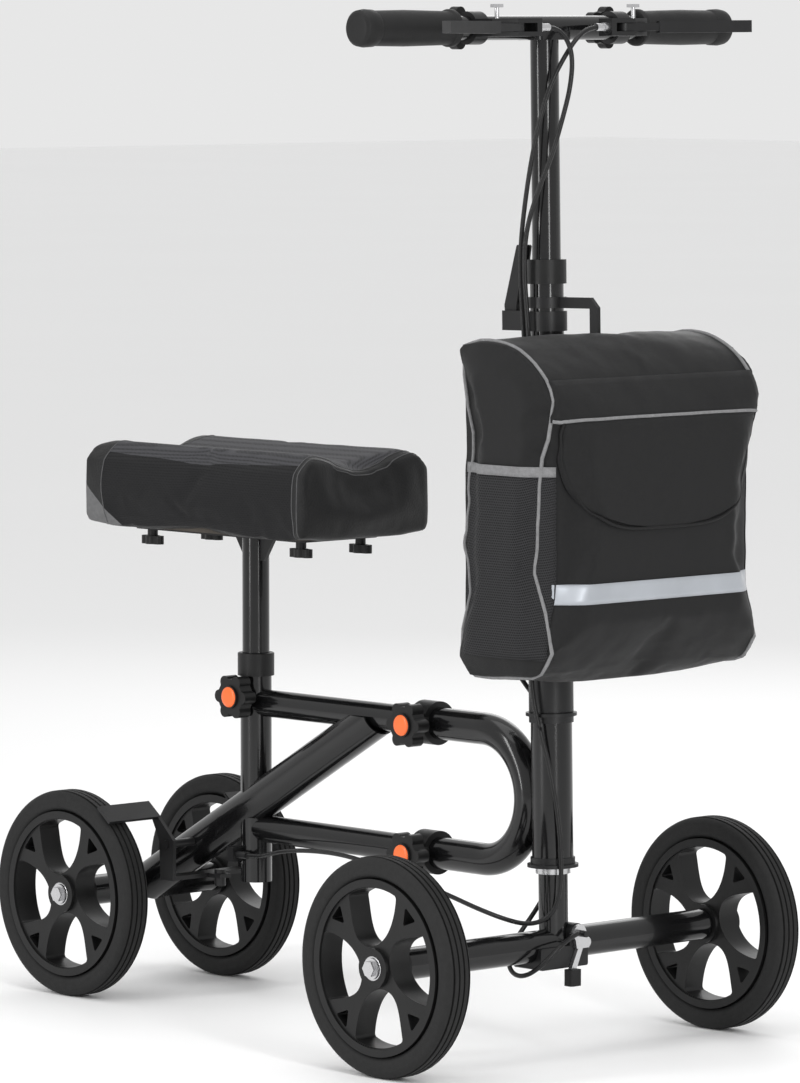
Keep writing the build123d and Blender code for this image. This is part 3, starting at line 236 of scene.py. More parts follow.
def orange_plastic():
    """The bright orange press-in caps of the star knobs."""
    m = Nodes("orange_cap_plastic")
    m.colour(m.mix(m.noise(60, 4), (0.82, 0.115, 0.012), (0.95, 0.17, 0.02)))
    m.rough(m.mapped(m.noise(150, 3), 0.3, 0.46))
    m.bump(m.noise(800, 3), 0.08, 0.0004)
    m.set(Coat_Weight=0.25, Coat_Roughness=0.2)
    return m.material


def woven(name, dark, light, pitch, strength, rough_low=0.5, rough_high=0.75, sheen=0.25, wrinkle=0.3):
    """Plain weave: two crossing thread waves, slub variation, sheen, and soft wrinkles under it."""
    m = Nodes(name)
    xyz = m.separate()
    along = m.math("ADD", xyz[0], xyz[1])
    rows = m.math("SINE", m.math("MULTIPLY", xyz[2], 2 * math.pi / pitch))
    columns = m.math("SINE", m.math("MULTIPLY", along, 2 * math.pi / pitch))
    weave = m.math("MULTIPLY", rows, columns)
    slub = m.noise(260, 4, 0.6)
    tone = m.mapped(m.math("ADD", m.math("MULTIPLY", weave, 0.35), slub), 0, 1, 0.1, 1.0)
    m.colour(m.mix(tone, dark, light))
    m.rough(m.mapped(slub, rough_low, rough_high))
    soft = m.bump(m.noise(16, 4, 0.55), wrinkle, 0.004)
    m.bump(weave, strength, 0.0004, soft)
    m.set(Sheen_Weight=sheen * 0.1, Sheen_Roughness=0.45, Specular_IOR_Level=0.18)
    return m.material


def dotted_mesh(name, dark, light, pitch, strength, sheen=0.3, hole=0.34):
    """Spacer mesh: rows of small round holes in a matte knit, offset like bricks."""
    m = Nodes(name)
    xyz = m.separate()
    u = m.math("DIVIDE", m.math("ADD", xyz[0], m.math("MULTIPLY", xyz[1], 1.0)), pitch)
    v = m.math("DIVIDE", m.math("SUBTRACT", xyz[2], m.math("MULTIPLY", xyz[1], 0.37)), pitch)
    row = m.math("FLOOR", v)
    shift = m.math("MULTIPLY", m.math("MODULO", m.math("ABSOLUTE", row), 2), 0.5)
    du = m.math("SUBTRACT", m.math("FRACT", m.math("ADD", u, shift)), 0.5)
    dv = m.math("SUBTRACT", m.math("FRACT", v), 0.5)
    radius = m.math("SQRT", m.math("ADD", m.math("MULTIPLY", du, du), m.math("MULTIPLY", dv, dv)))
    knit = m.mapped(radius, 0, 1, hole * 0.6, hole)
    slub = m.noise(300, 4, 0.6)
    tone = m.math("MULTIPLY", knit, m.mapped(slub, 0.55, 1.1))
    m.colour(m.mix(tone, dark, light))
    m.rough(m.mapped(slub, 0.6, 0.85))
    soft = m.bump(m.noise(14, 3), 0.2, 0.004)
    m.bump(knit, strength, 0.0005, soft)
    m.set(Sheen_Weight=sheen * 0.1, Sheen_Roughness=0.4, Specular_IOR_Level=0.15)
    return m.material


def grained(name, dark, light, scale=380, strength=0.35, rough_low=0.38, rough_high=0.58):
    """Synthetic leather: pebbled grain from cell edges, with gloss worn unevenly."""
    m = Nodes(name)
    cells = m.voronoi(scale, feature="DISTANCE_TO_EDGE")
    m.colour(m.mix(m.noise(22, 5), dark, light))
    m.rough(m.mapped(m.noise(70, 4), rough_low, rough_high))
    soft = m.bump(m.noise(13, 4), 0.3, 0.005)
    m.bump(m.mapped(cells, 0, 1, 0, 0.18), strength, 0.0004, soft)
    m.set(Sheen_Weight=0.01, Sheen_Roughness=0.4, Specular_IOR_Level=0.25)
    return m.material


def reflective(name, base=(0.36, 0.38, 0.41)):
    """Retro-reflective tape: fine beads, pale silver grey, with faint cross creases."""
    m = Nodes(name)
    beads = m.noise(900, 3, 0.7)
    cloud = m.noise(18, 4)
    m.colour(m.mix(cloud, tuple(part * 0.8 for part in base), tuple(min(1, part * 1.25) for part in base)))
    m.rough(m.mapped(beads, 0.3, 0.5))
    soft = m.bump(m.noise(20, 3), 0.25, 0.003)
    m.bump(beads, 0.1, 0.0003, soft)
    m.set(Metallic=0.35, Sheen_Weight=0.2)
    return m.material


PAINT = paint()
SATIN = satin_paint()
WHEEL = moulded("wheel_plastic", (0.005, 0.005, 0.0052), (0.011, 0.011, 0.011), 0.3, 0.46)
PLASTIC = moulded("black_plastic", (0.005, 0.005, 0.0052), (0.012, 0.012, 0.012), 0.3, 0.5, 900, 0.2)
TYRE = tyre_rubber()
GRIP = moulded("grip_rubber", (0.006, 0.006, 0.0062), (0.013, 0.013, 0.013), 0.45, 0.62, 500, 0.3)
ZINC = bright_metal()
ORANGE = orange_plastic()
BOARD = moulded("board", (0.03, 0.026, 0.022), (0.07, 0.06, 0.05), 0.6, 0.8, 300, 0.4)
CABLE = moulded("cable_housing", (0.009, 0.009, 0.0095), (0.018, 0.018, 0.018), 0.2, 0.32, 300, 0.08)
PAD_SIDE = dotted_mesh("pad_side_mesh", (0.004, 0.004, 0.0042), (0.015, 0.015, 0.016), 0.0021, 0.5, 0.25)
PAD_TOP = dotted_mesh("pad_top_mesh", (0.012, 0.012, 0.013), (0.055, 0.055, 0.06), 0.0019, 0.5, 0.5)
PAD_PLAIN = grained("pad_plain_cover", (0.006, 0.006, 0.0062), (0.012, 0.012, 0.0125))
PAD_GREY = woven("pad_grey_patch", (0.09, 0.09, 0.092), (0.17, 0.17, 0.172), 0.0011, 0.4)
BAG = woven("bag_canvas", (0.0045, 0.0045, 0.0048), (0.012, 0.012, 0.0123), 0.0009, 0.3, 0.42, 0.62, 0.35)
PIPING = woven("bag_piping", (0.13, 0.13, 0.132), (0.27, 0.27, 0.275), 0.0008, 0.3, 0.5, 0.7, 0.2)
TAPE = reflective("reflective_tape")
BAG_MESH = dotted_mesh(
    "bag_pocket_mesh", (0.003, 0.003, 0.0032), (0.035, 0.035, 0.037), 0.0023, 0.8, 0.3, 0.4
)
THREAD = woven("stitch_thread", (0.05, 0.05, 0.052), (0.12, 0.12, 0.122), 0.0006, 0.4)

NODE_MATERIALS = {
    PAINT: (
        "seat_tube upper_rail lower_rail diagonal_tube rear_axle_tube frame_loop head_tube front_axle_tube "
        "stem_tube column_tube inner_tube handlebar seat_post"
    ),
    SATIN: (
        "fold_hinge fold_base brake_pivot brake_bar bag_hanger seat_bracket cable_stop axle_block height_clamp "
        "brake_perches left_brake_lever right_brake_lever headset_cups height_lever"
    ),
    ZINC: (
        "rear_axle_bolts front_axle_bolts fold_pin headset_bearings left_lock_pin right_lock_pin "
        "centre_lever cable_adjusters"
    ),
    TYRE: "rear_right_tyre rear_left_tyre front_right_tyre front_left_tyre",
    WHEEL: "rear_right_rim rear_left_rim front_right_rim front_left_rim",
    GRIP: "lever_tip grips",
    PLASTIC: (
        "seat_collar column_collar fold_latch pad_knobs rail_clamps upper_rail_knob lower_rail_knob seat_knob "
        "left_bar_knob right_bar_knob"
    ),
    BOARD: "pad_board",
    PAD_PLAIN: "knee_pad",
    BAG: "bag",
    CABLE: "left_brake_cable right_brake_cable",
}
for material, names in NODE_MATERIALS.items():
    for name in names.split():
        data = nodes[name].data
        data.materials.clear()
        data.materials.append(material)
        for slot in nodes[name].material_slots:
            slot.material = material


# ------------------------------------------------------------------ mesh helpers
def make_object(name, vertices, faces, material, smooth=True):
    mesh = bpy.data.meshes.new(name)
    mesh.from_pydata([tuple(v) for v in vertices], [], [tuple(f) for f in faces])
    mesh.validate()
    mesh.update()
    made = bpy.data.objects.new(name, mesh)
    bpy.context.scene.collection.objects.link(made)
    mesh.materials.append(material)
    if smooth:
        for polygon in mesh.polygons:
            polygon.use_smooth = True
    return made


def frames_along(points):
    """Unit side vectors carried along a line of points without twisting."""
    points = [Vector(p) for p in points]
    tangents = []
    for index in range(len(points)):
        before = points[max(index - 1, 0)]
        after = points[min(index + 1, len(points) - 1)]
        tangents.append((after - before).normalized())
    side = tangents[0].orthogonal().normalized()
    result = []
    for tangent in tangents:
        side = (side - tangent * side.dot(tangent)).normalized()
        result.append((tangent, side, tangent.cross(side)))
    return result


def tube_along(name, points, radius, material, sides=14, capped=True, closed=False):
    """A round tube swept along points; radius is a number or one number per point."""
    vertices = []
    faces = []
    radii = radius if isinstance(radius, (list, tuple)) else [radius] * len(points)
    count = len(points)
    for place, size, (_, side, other) in zip(points, radii, frames_along(points)):
        for number in range(sides):
            angle = 2 * math.pi * number / sides
            vertices.append(Vector(place) + (side * math.cos(angle) + other * math.sin(angle)) * size)
    rings = count if closed else count - 1
    for ring in range(rings):
        following = (ring + 1) % count
        for number in range(sides):
            next_number = (number + 1) % sides
            faces.append(
                (
                    ring * sides + number,
                    ring * sides + next_number,
                    following * sides + next_number,
                    following * sides + number,
                )
            )
    if capped and not closed:
        faces.append(tuple(reversed(range(sides))))
        faces.append(tuple(range((count - 1) * sides, count * sides)))
    return make_object(name, vertices, faces, material)


def spline_points(control, steps=8):
    """Points of the smooth NURBS line that has these control points."""
    curve = bpy.data.curves.new("route", "CURVE")
    curve.dimensions = "3D"
    spline = curve.splines.new("NURBS")
    spline.points.add(len(control) - 1)
    for point, place in zip(spline.points, control):
        point.co = (*place, 1)
    spline.order_u = 3
    spline.use_endpoint_u = True
    spline.resolution_u = steps
    holder = bpy.data.objects.new("route", curve)
    bpy.context.scene.collection.objects.link(holder)
    bpy.context.view_layer.update()
    mesh = bpy.data.meshes.new_from_object(holder.evaluated_get(bpy.context.evaluated_depsgraph_get()))
    points = [vertex.co.copy() for vertex in mesh.vertices]
    bpy.data.objects.remove(holder)
    bpy.data.meshes.remove(mesh)
    bpy.data.curves.remove(curve)
    return points


def lathe(name, profile, origin, axis, material, segments=48):
    """A turned piece: profile is (distance along the axis, radius) pairs in metres."""
    axis = Vector(axis).normalized()
    side = axis.orthogonal().normalized()
    other = axis.cross(side)
    vertices = []
    faces = []
    for along, radius in profile:
        for number in range(segments):
            angle = 2 * math.pi * number / segments
            outward = side * math.cos(angle) + other * math.sin(angle)
            vertices.append(Vector(origin) + axis * along + outward * radius)
    for ring in range(len(profile) - 1):
        for number in range(segments):
            following = (number + 1) % segments
            faces.append(
                (
                    ring * segments + number,
                    ring * segments + following,
                    (ring + 1) * segments + following,
                    (ring + 1) * segments + number,
                )
            )
    faces.append(tuple(reversed(range(segments))))
    faces.append(tuple(range((len(profile) - 1) * segments, len(profile) * segments)))
    made = make_object(name, vertices, faces, material)
    modifier = made.modifiers.new("edges", "BEVEL")
    modifier.width = 0.0003
    modifier.segments = 2
    modifier.limit_method = "ANGLE"
    modifier.angle_limit = math.radians(35)
    return made


# ------------------------------------------------------------------ brake cables
BAR = 837
right_route = [
    on_axis(*p)
    for p in [
        (36.5, -37.3, BAR),
        (36.5, -22.8, BAR),
        (36.8, -10.2, BAR - 7.2),
        (37.5, -3, BAR - 19.7),
        (38, -1.8, BAR - 35),
        (37, -4.5, BAR - 56),
        (34, -9, BAR - 77),
        (27, -16.5, BAR - 112),
        (15.5, -25, BAR - 147),
        (2, -27.5, BAR - 182),
        (-2, -27, BAR - 217),
        (0, -24.5, BAR - 267),
        (2, -23, BAR - 327),
        (2.5, -22.5, BAR - 387),
        (2, -23, BAR - 447),
        (1, -24.5, BAR - 507),
        (0, -26.5, BAR - 562),
        (3, -27, BAR - 606),
        (10, -25.2, 200),
        (16.5, -20.2, 170),
        (22, -15.5, 130),
        (24.5, -13.2, 92),
        (24, -13, 62),
        (22, -14.5, 44),
        (17, -18.7, 30.5),
        (8, -25.5, 22.8),
        (-4.5, -33.5, 21),
        (-22, -43, 25.5),
        (-52, -47.5, 33),
        (-86, -47, 41),
        (-130, -46.5, 50.5),
        (-180, -45, 59.5),
    ]
]
right_route += [
    Vector((front_axle.x - 0.238, -0.041, 0.163)),
    Vector((front_axle.x - 0.290, -0.0375, 0.162)),
    Vector((front_axle.x - 0.334, -0.0325, 0.157)),
    Vector((front_axle.x - 0.364, -0.025, 0.150)),
    Vector((seat_x + 0.025, -0.020, 0.145)),
    Vector((seat_x - 0.0045, -0.020, 0.145)),
]
left_route = [
    on_axis(*p)
    for p in [
        (36.5, 37.3, BAR),
        (36.5, 22.8, BAR),
        (34, 9.5, BAR - 8),
        (29.5, -1.5, BAR - 24),
        (23, -13.5, BAR - 48),
        (15.5, -22, BAR - 82),
        (8, -26.5, BAR - 122),
        (0, -27.5, BAR - 162),
        (-8, -25.5, BAR - 200),
        (-10.5, -22.5, BAR - 240),
        (-9, -20, BAR - 290),
        (-8, -19, BAR - 348),
        (-8.5, -19.5, BAR - 407),
        (-10.5, -21, BAR - 462),
        (-14.5, -22.6, BAR - 505),
        (-20.8, -24, BAR - 540),
        (-28, -22, BAR - 566),
        (-32.5, -12.5, 250),
        (-31.5, 1.5, 233),
        (-25.5, 13, 216),
        (-19.5, 19, 194),
        (-17.3, 20.8, 166),
        (-17.2, 20.6, 130),
        (-17.8, 20, 94),
        (-19, 17.5, 66),
        (-21.5, 11.5, 44),
        (-25.5, 0.5, 27),
        (-28.5, -14, 10.5),
        (-28, -28, -4.5),
        (-20.5, -38.5, -17.5),
        (-7.5, -43.7, -25),
        (7.5, -44.6, -25),
        (20.5, -40.5, -17.5),
        (28.5, -31.5, -6),
        (31, -19, 4),
        (29.5, -6, 9.5),
        (28, 5, 12),
    ]
]
CABLE_RADIUS = 0.0022


def cut_at(points, test, start=0):
    """Index of the first point from start on for which test is true."""
    for index in range(start, len(points)):
        if test(points[index]):
            return index
    return len(points) - 1


def cable_piece(name, points, bodies):
    piece = tube_along(name, points, CABLE_RADIUS, CABLE, 12)
    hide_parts("left_brake_cable" if name.startswith("left") else "right_brake_cable")
    if len(bodies) == 1:
        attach(piece, bodies[0])
    else:
        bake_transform(piece)
    return piece


right_line = spline_points(right_route)
left_line = spline_points(left_route)


def height(place):
    """Millimetres up the steering axis from the front axle."""
    return (Vector(place) - front_axle).dot(UP) * 1000


for side_name, line in (("right", right_line), ("left", left_line)):
    first = cut_at(line, lambda p: height(p) < 480)
    second = cut_at(line, lambda p: height(p) < 205)
    cable_piece(
        f"{side_name}_cable_upper",
        line[: first + 1],
        ("bars", "column"),
    )
    cable_piece(
        f"{side_name}_cable_fold",
        line[first : second + 1],
        ("column", "fork"),
    )
    if side_name == "left":
        cable_piece("left_cable_lower", line[second:], ("fork",))
    else:
        third = cut_at(line, lambda p: p.x < front_axle.x - 0.012, second)
        fourth = cut_at(line, lambda p: p.x < front_axle.x - 0.165, third)
        cable_piece("right_cable_head", line[second : third + 1], ("fork",))
        cable_piece(
            "right_cable_turn",
            line[third : fourth + 1],
            ("fork", "front_frame"),
        )
        cable_piece(
            "right_cable_rear",
            line[fourth:],
            ("front_frame", "rear_frame"),
        )


# ------------------------------------------------------------------ soft goods
class Surface:
    """Finds places on a mesh by casting rays at it."""

    def __init__(self, obj):
        mesh = obj.data
        points = [vertex.co for vertex in mesh.vertices]
        faces = [list(polygon.vertices) for polygon in mesh.polygons]
        self.tree = BVHTree.FromPolygons(points, faces)

    def hit(self, origin, direction, lift=0.0):
        place, normal, _, _ = self.tree.ray_cast(Vector(origin), Vector(direction).normalized())
        if place is None:
            return None
        if normal.dot(Vector(direction)) > 0:
            normal = -normal
        return place + normal * lift


def evaluated_mesh(obj):
    graph = bpy.context.evaluated_depsgraph_get()
    return bpy.data.meshes.new_from_object(obj.evaluated_get(graph))


def swap_mesh(obj, mesh):
    old = obj.data
    obj.data = mesh
    bpy.data.meshes.remove(old)


def inflated(name, node, voxel, shrink, cap, limits, crease):
    """A sewn, filled form: the CAD solid remeshed, blown up as cloth, held inside limits, then smoothed."""
    source = nodes[node]
    mesh = source.data.copy()
    mesh.transform(source.matrix_world)
    obj = bpy.data.objects.new(name, mesh)
    bpy.context.scene.collection.objects.link(obj)
    remesh = obj.modifiers.new("remesh", "REMESH")
    remesh.mode = "VOXEL"
    remesh.voxel_size = voxel
    bpy.context.view_layer.update()
    swap_mesh(obj, evaluated_mesh(obj))
    obj.modifiers.clear()
    mesh = obj.data
    normals = [vertex.normal.copy() for vertex in mesh.vertices]
    for vertex, normal in zip(mesh.vertices, normals):
        vertex.co -= normal * shrink
    rest = [vertex.co.copy() for vertex in mesh.vertices]
    cloth = obj.modifiers.new("cloth", "CLOTH")
    cloth.settings.quality = 5
    cloth.settings.mass = 0.3
    cloth.settings.tension_stiffness = 25
    cloth.settings.compression_stiffness = 25
    cloth.settings.shear_stiffness = 8
    cloth.settings.bending_stiffness = 2
    cloth.settings.use_pressure = True
    cloth.settings.uniform_pressure_force = 4
    cloth.settings.effector_weights.gravity = 0
    cloth.point_cache.frame_start = 1
    cloth.point_cache.frame_end = 20
    for number in range(1, 21):
        bpy.context.scene.frame_set(number)
    blown = evaluated_mesh(obj)
    obj.modifiers.clear()
    for vertex, moved, start in zip(mesh.vertices, blown.vertices, rest):
        shift = moved.co - start
        if shift.length > cap:
            shift *= cap / shift.length
        vertex.co = start + shift
    bpy.data.meshes.remove(blown)
    bpy.context.scene.frame_set(1)
    if crease:
        for vertex, normal in zip(mesh.vertices, normals):
            place = vertex.co
            fold = noise.noise(place * 22) + 0.5 * noise.noise(place * 55)
            vertex.co += normal * fold * crease
    low, high = limits
    for vertex in mesh.vertices:
        vertex.co = [min(max(part, a), b) for part, a, b in zip(vertex.co, low, high)]
    smooth = obj.modifiers.new("smooth", "SUBSURF")
    smooth.levels = 1
    smooth.render_levels = 1
    bpy.context.view_layer.update()
    swap_mesh(obj, evaluated_mesh(obj))
    obj.modifiers.clear()
    for polygon in obj.data.polygons:
        polygon.use_smooth = True
    return obj


def cut_panels(obj, planes, choose, materials):
    """Cuts the mesh along planes and gives each face the material its panel has."""
    shape = bmesh.new()
    shape.from_mesh(obj.data)
    for place, normal in planes:
        geometry = shape.verts[:] + shape.edges[:] + shape.faces[:]
        bmesh.ops.bisect_plane(shape, geom=geometry, plane_co=place, plane_no=normal, dist=1e-6)
    obj.data.materials.clear()
    for material in materials:
        obj.data.materials.append(material)
    for face in shape.faces:
        face.material_index = materials.index(choose(face.calc_center_median(), face.normal))
        face.smooth = True
    shape.to_mesh(obj.data)
    shape.free()


def seam(name, surface, origins, direction, radius, material, body, node, lift=0.0):
    """A stitched or piped line lying on the surface where rays from these origins meet it."""
    places = [surface.hit(origin, direction, lift) for origin in origins]
    places = [place for place in places if place is not None]
    made = tube_along(name, places, radius, material, 8)
    finish_piece(made, body, node)
    return made


def finish_piece(obj, body, node):
    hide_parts(node)
    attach(obj, body)


def patch(name, surface, rows, direction, lift, thickness, material, body, node):
    """A sheet of cloth laid on the surface: rows of ray origins, each row as long as the others."""
    vertices = []
    for row in rows:
        for origin in row:
            vertices.append(surface.hit(origin, direction, lift) or Vector(origin))
    width = len(rows[0])
    faces = []
    for number in range(len(rows) - 1):
        for across in range(width - 1):
            a = number * width + across
            faces.append((a, a + 1, a + width + 1, a + width))
    made = make_object(name, vertices, faces, material)
    facing = sum((polygon.normal for polygon in made.data.polygons), Vector())
    if facing.dot(Vector(direction)) > 0:
        made.data.flip_normals()
    solid = made.modifiers.new("thickness", "SOLIDIFY")
    solid.thickness = thickness
    solid.offset = 1
    finish_piece(made, body, node)
    return made


def spread(a, b, count):
    return [a + (b - a) * number / (count - 1) for number in range(count)]


# knee pad
pad_low, pad_high = corners("knee_pad")
PUFF = 0.004
pad = inflated(
    "knee_pad_cover",
    "knee_pad",
    0.005,
    0.0015,
    0.006,
    (
        (pad_low.x - PUFF, pad_low.y - PUFF, pad_low.z + 0.0004),
        (pad_high.x + PUFF, pad_high.y + PUFF, pad_high.z + PUFF),
    ),
    0.0,
)
rear_seam = pad_low.x + 0.030
front_seam = pad_high.x - 0.014
patch_long = 0.050
patch_tall = 0.045
top_half = pad_high.y - 0.011


def pad_panel(place, normal):
    middle = rear_seam < place.x < front_seam
    if abs(place.y) < top_half and normal.z > 0.2:
        return PAD_TOP if middle else PAD_PLAIN
    if abs(place.y) > top_half:
        if (place.x - pad_low.x) / patch_long + (place.z - pad_low.z) / patch_tall < 1:
            return PAD_GREY
        return PAD_SIDE if middle else PAD_PLAIN
    return PAD_PLAIN


cut_panels(
    pad,
    [
        ((rear_seam, 0, 0), (1, 0, 0)),
        ((front_seam, 0, 0), (1, 0, 0)),
        ((0, top_half, 0), (0, 1, 0)),
        ((0, -top_half, 0), (0, 1, 0)),
        ((pad_low.x + patch_long, 0, pad_low.z), (patch_tall, 0, patch_long)),
    ],
    pad_panel,
    [PAD_PLAIN, PAD_SIDE, PAD_TOP, PAD_GREY],
)
finish_piece(pad, "seat", "knee_pad")
pad_surface = Surface(pad)
for side_name, turn in (("right", -1), ("left", 1)):
    for seam_name, x in (("front", front_seam), ("front_second", front_seam + 0.006), ("rear", rear_seam)):
        heights = spread(pad_low.z + 0.004, pad_high.z - 0.008, 24)
        seam(
            f"pad_{seam_name}_seam_{side_name}",
            pad_surface,
            [(x, turn * 0.3, z) for z in heights],
            (0, -turn, 0),
            0.0006,
            THREAD,
            "seat",
            "knee_pad",
        )
for seam_name, x in (("front", front_seam), ("front_second", front_seam + 0.006), ("rear", rear_seam)):
    seam(
        f"pad_{seam_name}_seam_top",
        pad_surface,
        [(x, y, 0.8) for y in spread(pad_low.y + 0.006, pad_high.y - 0.006, 48)],
        (0, 0, -1),
        0.0006,
        THREAD,
        "seat",
        "knee_pad",
    )

# bag
bag_low, bag_high = corners("bag")
bag = inflated(
    "bag_shell",
    "bag",
    0.005,
    0.002,
    0.009,
    (
        (bag_low.x + 0.0004, bag_low.y - 0.004, bag_low.z - 0.002),
        (bag_high.x + 0.006, bag_high.y + 0.004, bag_high.z + 0.004),
    ),
    0.0014,
)
bag.data.materials.clear()
bag.data.materials.append(BAG)
finish_piece(bag, "column", "bag")
bag_surface = Surface(bag)
bag_x = (bag_low.x + bag_high.x) / 2
bag_half = bag_high.y
flap_top = 0.590
flap_drop = 0.098
flap_half = 0.120
lid_edge_top = 0.625
tape_low, tape_high = 0.4275, 0.4455
pocket_low, pocket_high, band_high = 0.378, 0.541, 0.550
AHEAD = 0.6
BESIDE = 0.4
TOWARD_BACK = (-1, 0, 0)

flap_rows = []
for share in spread(0.0, 0.995, 26):
    half = flap_half * math.sqrt(1 - share**4)
    flap_rows.append([(AHEAD, y, flap_top - flap_drop * share) for y in spread(-half, half, 41)])
patch("bag_flap", bag_surface, flap_rows, TOWARD_BACK, 0.0012, 0.0018, BAG, "column", "bag")
edge = []
for angle in spread(0, 180, 60):
    share = abs(math.sin(math.radians(angle)))
    cosine = math.cos(math.radians(angle))
    across = flap_half * math.copysign(abs(cosine) ** 0.5, cosine)
    edge.append((AHEAD, across, flap_top - flap_drop * share))
seam("bag_flap_binding", bag_surface, edge, TOWARD_BACK, 0.0014, BAG, "column", "bag", 0.0022)

line = [(AHEAD, y, flap_top + 0.001) for y in spread(-bag_half + 0.009, bag_half - 0.009, 60)]
seam("bag_lid_piping", bag_surface, line, TOWARD_BACK, 0.0019, PIPING, "column", "bag", 0.002)
lid_width = spread(-bag_half + 0.008, bag_half - 0.008, 48)
lid_rows = [[(AHEAD, y, z) for y in lid_width] for z in spread(flap_top, lid_edge_top, 8)]
patch("bag_lid_edge", bag_surface, lid_rows, TOWARD_BACK, 0.0006, 0.0026, BAG, "column", "bag")

tape_width = spread(-bag_half + 0.010, bag_half - 0.010, 60)
tape_rows = [[(AHEAD, y, z) for y in tape_width] for z in spread(tape_low, tape_high, 5)]
patch("bag_reflective_tape", bag_surface, tape_rows, TOWARD_BACK, 0.0003, 0.0007, TAPE, "column", "bag")

for side_name, turn in (("right", -1), ("left", 1)):
    across = (0, -turn, 0)
    panel = spread(bag_low.x + 0.014, bag_high.x - 0.012, 24)
    band_rows = [[(x, turn * BESIDE, z) for x in panel] for z in spread(pocket_high, band_high, 4)]
    patch(
        f"bag_side_band_{side_name}", bag_surface, band_rows, across, 0.0004, 0.0012, PIPING, "column", "bag"
    )
    pocket_rows = [[(x, turn * BESIDE, z) for x in panel] for z in spread(pocket_low, pocket_high, 30)]
    patch(
        f"bag_side_pocket_{side_name}",
        bag_surface,
        pocket_rows,
        across,
        0.0003,
        0.0008,
        BAG_MESH,
        "column",
        "bag",
    )
    ring = []
    for angle in spread(0, 354, 90):
        way = (math.cos(math.radians(angle)), 0, math.sin(math.radians(angle)))
        origin = Vector((bag_x, turn * (bag_half - 0.008), 0.51)) + Vector(way) * 0.5
        place = bag_surface.hit(origin, -Vector(way), 0.0004)
        if place is not None:
            ring.append(place)
    piping = tube_along(f"bag_piping_{side_name}", ring, 0.0018, PIPING, 8, closed=True)
    finish_piece(piping, "column", "bag")

# ------------------------------------------------------------------ hard details
grip_low, grip_high = corners("grips")
grip_place = (grip_low + grip_high) / 2
for side_name, turn in (("right", -1), ("left", 1)):
    profile = [
        (0.1150, 0.0112),
        (0.1150, 0.0158),
        (0.1165, 0.0170),
        (0.1205, 0.0170),
        (0.1220, 0.0152),
        (0.1400, 0.0156),
        (0.1750, 0.0163),
        (0.2080, 0.0158),
        (0.2120, 0.0154),
        (0.2140, 0.0166),
        (0.2230, 0.0170),
        (0.2290, 0.0160),
        (0.2314, 0.0135),
        (0.2320, 0.0090),
        (0.2320, 0.0001),
    ]
    grip = lathe(f"grip_{side_name}", profile, (grip_place.x, 0, grip_place.z), (0, turn, 0), GRIP, 64)
    finish_piece(grip, "bars", "grips")

knob_bodies = {
    "upper_rail_knob": "upper_knob",
    "lower_rail_knob": "lower_knob",
    "seat_knob": "seat_height_knob",
}
for name, body in knob_bodies.items():
    low, high = corners(name)
    middle = (low + high) / 2
    profile = [
        (-0.0012, 0.0098),
        (0.0003, 0.0098),
        (0.0011, 0.0090),
        (0.0016, 0.0070),
        (0.0018, 0.0035),
        (0.0018, 0.0001),
    ]
    cap = lathe(name + "_cap", profile, (middle.x, low.y, middle.z), (0, -1, 0), ORANGE, 40)
    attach(cap, body)

for corner in ("rear_right", "rear_left", "front_right", "front_left"):
    low, high = corners(corner + "_rim")
    middle = (low + high) / 2
    out = -1 if "right" in corner else 1
    face = low.y if out < 0 else high.y
    profile = [
        (-0.0012, 0.0088),
        (0.0002, 0.0088),
        (0.0002, 0.0108),
        (-0.0002, 0.0112),
        (-0.0002, 0.0120),
        (-0.0012, 0.0120),
    ]
    bearing = lathe(corner + "_bearing", profile, (middle.x, face, middle.z), (0, out, 0), ZINC, 56)
    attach(bearing, corner + "_wheel")


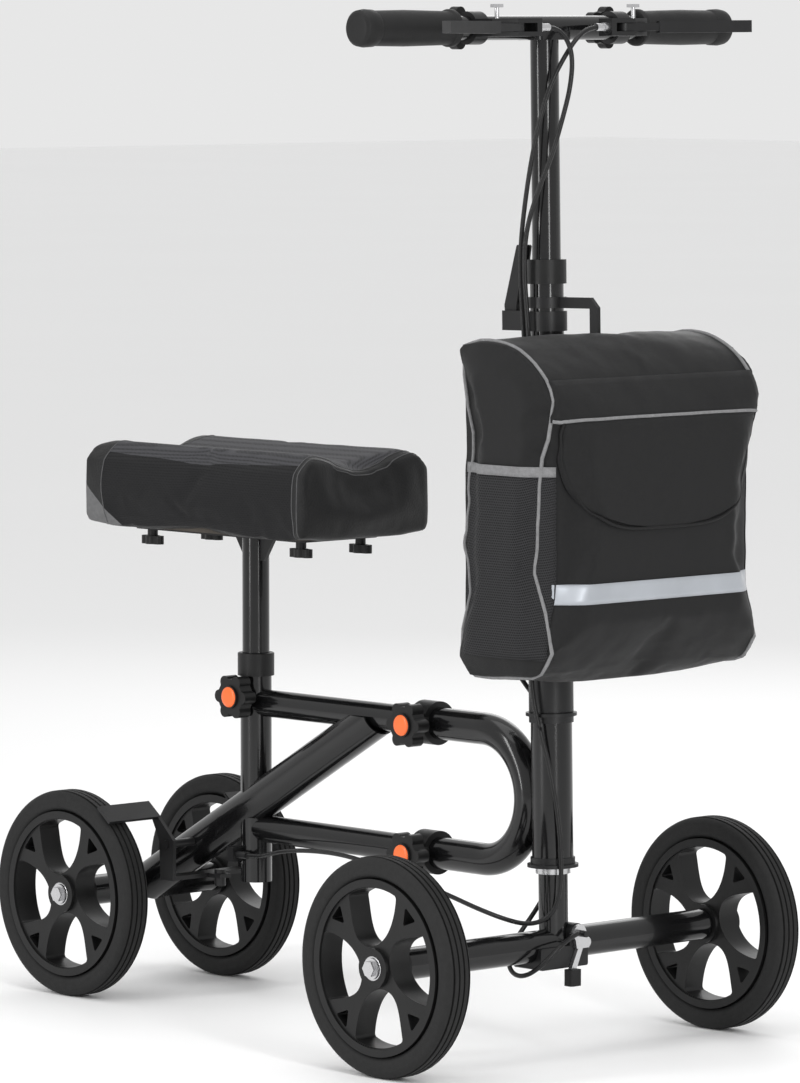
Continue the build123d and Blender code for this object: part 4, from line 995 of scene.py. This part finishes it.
# ------------------------------------------------------------------ stage, light and camera
def area(name, place, target, size, power, colour=(1, 1, 1), size_y=None):
    data = bpy.data.lights.new(name, "AREA")
    data.shape = "RECTANGLE"
    data.size = size
    data.size_y = size_y or size
    data.energy = power
    data.color = colour
    light = bpy.data.objects.new(name, data)
    bpy.context.scene.collection.objects.link(light)
    light.location = place
    light.rotation_euler = (Vector(target) - Vector(place)).to_track_quat("-Z", "Y").to_euler()
    return light


floor_mesh = bpy.data.meshes.new("floor")
floor_mesh.from_pydata([(-30, -30, 0), (30, -30, 0), (30, 30, 0), (-30, 30, 0)], [], [(0, 1, 2, 3)])
floor = bpy.data.objects.new("floor", floor_mesh)
bpy.context.scene.collection.objects.link(floor)
floor_material = Nodes("studio_floor")
floor_tone = floor_material.mix(floor_material.noise(0.8, 2), (0.93, 0.93, 0.93), (0.95, 0.95, 0.95))
floor_material.colour(floor_tone)
floor_material.set(Roughness=0.65)
floor_mesh.materials.append(floor_material.material)

world = bpy.data.worlds.new("studio")
bpy.context.scene.world = world
world.use_nodes = True
world.node_tree.nodes["Background"].inputs[0].default_value = (1, 1, 1, 1)
world.node_tree.nodes["Background"].inputs[1].default_value = 0.8

bpy.context.scene.view_settings.view_transform = "Standard"


def round_the(azimuth, distance, height_above):
    """A place round the object; azimuth 0 stands on -Y, 90 on +X."""
    angle = math.radians(azimuth)
    return Vector((math.sin(angle) * distance, -math.cos(angle) * distance, height_above))


area("strip_left", round_the(-7, 2.6, 1.3), (0, 0, 0.6), 0.28, 26, size_y=2.4)
area("strip_right", round_the(72, 2.6, 1.3), (0, 0, 0.6), 0.28, 26, size_y=2.4)
area("top_soft", (0.3, -0.3, 3.0), (0, 0, 0), 2.4, 24)
area("back_soft", round_the(215, 3.0, 1.8), (0, 0, 0.5), 1.6, 12)

camera_data = bpy.data.cameras.new("camera")
camera = bpy.data.objects.new("camera", camera_data)
bpy.context.scene.collection.objects.link(camera)
bpy.context.scene.camera = camera
camera_data.sensor_fit = "VERTICAL"
camera_data.sensor_height = 36.0
camera_data.lens = 216.307
camera_data.clip_end = 100
camera.location = (rear_axle.x + 4.8052557, -4.1268856, 0.9541771)
yaw, pitch = 2.3932, -0.0817
direction = Vector((math.cos(yaw) * math.cos(pitch), math.sin(yaw) * math.cos(pitch), math.sin(pitch)))
camera.rotation_euler = direction.to_track_quat("-Z", "Y").to_euler()
